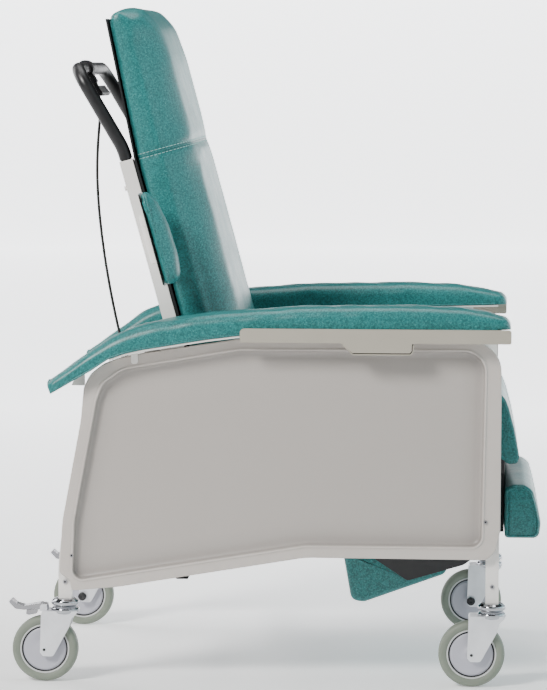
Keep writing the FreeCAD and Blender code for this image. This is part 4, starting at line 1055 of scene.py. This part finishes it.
for k in range(seg):
    ff.append((0, 1 + k, 1 + (k + 1) % seg))
for i in range(len(rad) - 1):
    for k in range(seg):
        a, b = 1 + i * seg + k, 1 + i * seg + (k + 1) % seg
        ff.append((a, a + seg, b + seg, b))
me = bpy.data.meshes.new("floor")
me.from_pydata(fv, [], ff)
for p in me.polygons:
    p.use_smooth = True
me.materials.append(fm)
floor = link(bpy.data.objects.new("floor", me))

w = bpy.data.worlds.new("studio")
bpy.context.scene.world = w
w.use_nodes = True
w.node_tree.nodes["Background"].inputs[0].default_value = (0.93, 0.95, 1.0, 1.0)
w.node_tree.nodes["Background"].inputs[1].default_value = 0.10


def area(name, loc, aim, sx, sy, power, col=(1, 1, 1)):
    l = bpy.data.lights.new(name, "AREA")
    l.shape = "RECTANGLE"
    l.size, l.size_y = sx, sy
    l.energy = power
    l.color = col
    o = link(bpy.data.objects.new(name, l))
    o.location = loc
    o.rotation_euler = (Vector(aim) - Vector(loc)).to_track_quat("-Z", "Y").to_euler()
    return o


area("key", (-2.6, -3.4, 3.5), (0.0, 0.0, 0.6), 1.3, 1.3, 316, (1.0, 0.985, 0.96))
area("fill", (3.2, -3.3, 1.9), (0.0, 0.0, 0.7), 2.0, 2.4, 30, (0.92, 0.98, 1.0))
area("front", (3.6, -0.1, 1.7), (0.0, 0.0, 0.9), 4.0, 2.8, 62, (0.70, 0.96, 1.0))
area("front_far", (2.5, 3.3, 2.0), (0.0, 0.0, 0.9), 2.8, 2.6, 22, (0.80, 0.96, 1.0))
area("top", (0.0, 0.2, 3.4), (0.0, 0.0, 0.6), 2.6, 2.0, 70)
area("rear", (-3.0, 1.6, 2.0), (-0.2, 0.0, 0.9), 1.4, 2.2, 50)

cam = bpy.data.cameras.new("camera")
cam.lens = 166.7
cam.sensor_width = 36.0
cam.clip_end = 100.0
co = link(bpy.data.objects.new("camera", cam))
yaw, pitch, roll = -0.059761, 0.0885405, -0.00247653
fwd = Vector((math.sin(yaw) * math.cos(pitch), math.cos(yaw) * math.cos(pitch), -math.sin(pitch)))
rgt = Vector((math.cos(yaw), -math.sin(yaw), 0.0))
dwn = fwd.cross(rgt)
r2 = rgt * math.cos(roll) + dwn * math.sin(roll)
d2 = dwn * math.cos(roll) - rgt * math.sin(roll)
mw = Matrix.Identity(4)
for i in range(3):
    mw[i][0], mw[i][1], mw[i][2] = r2[i], -d2[i], -fwd[i]
mw[0][3], mw[1][3], mw[2][3] = 0.38995 - SHIFT, -6.34533, 1.18777
co.matrix_world = mw
bpy.context.scene.camera = co
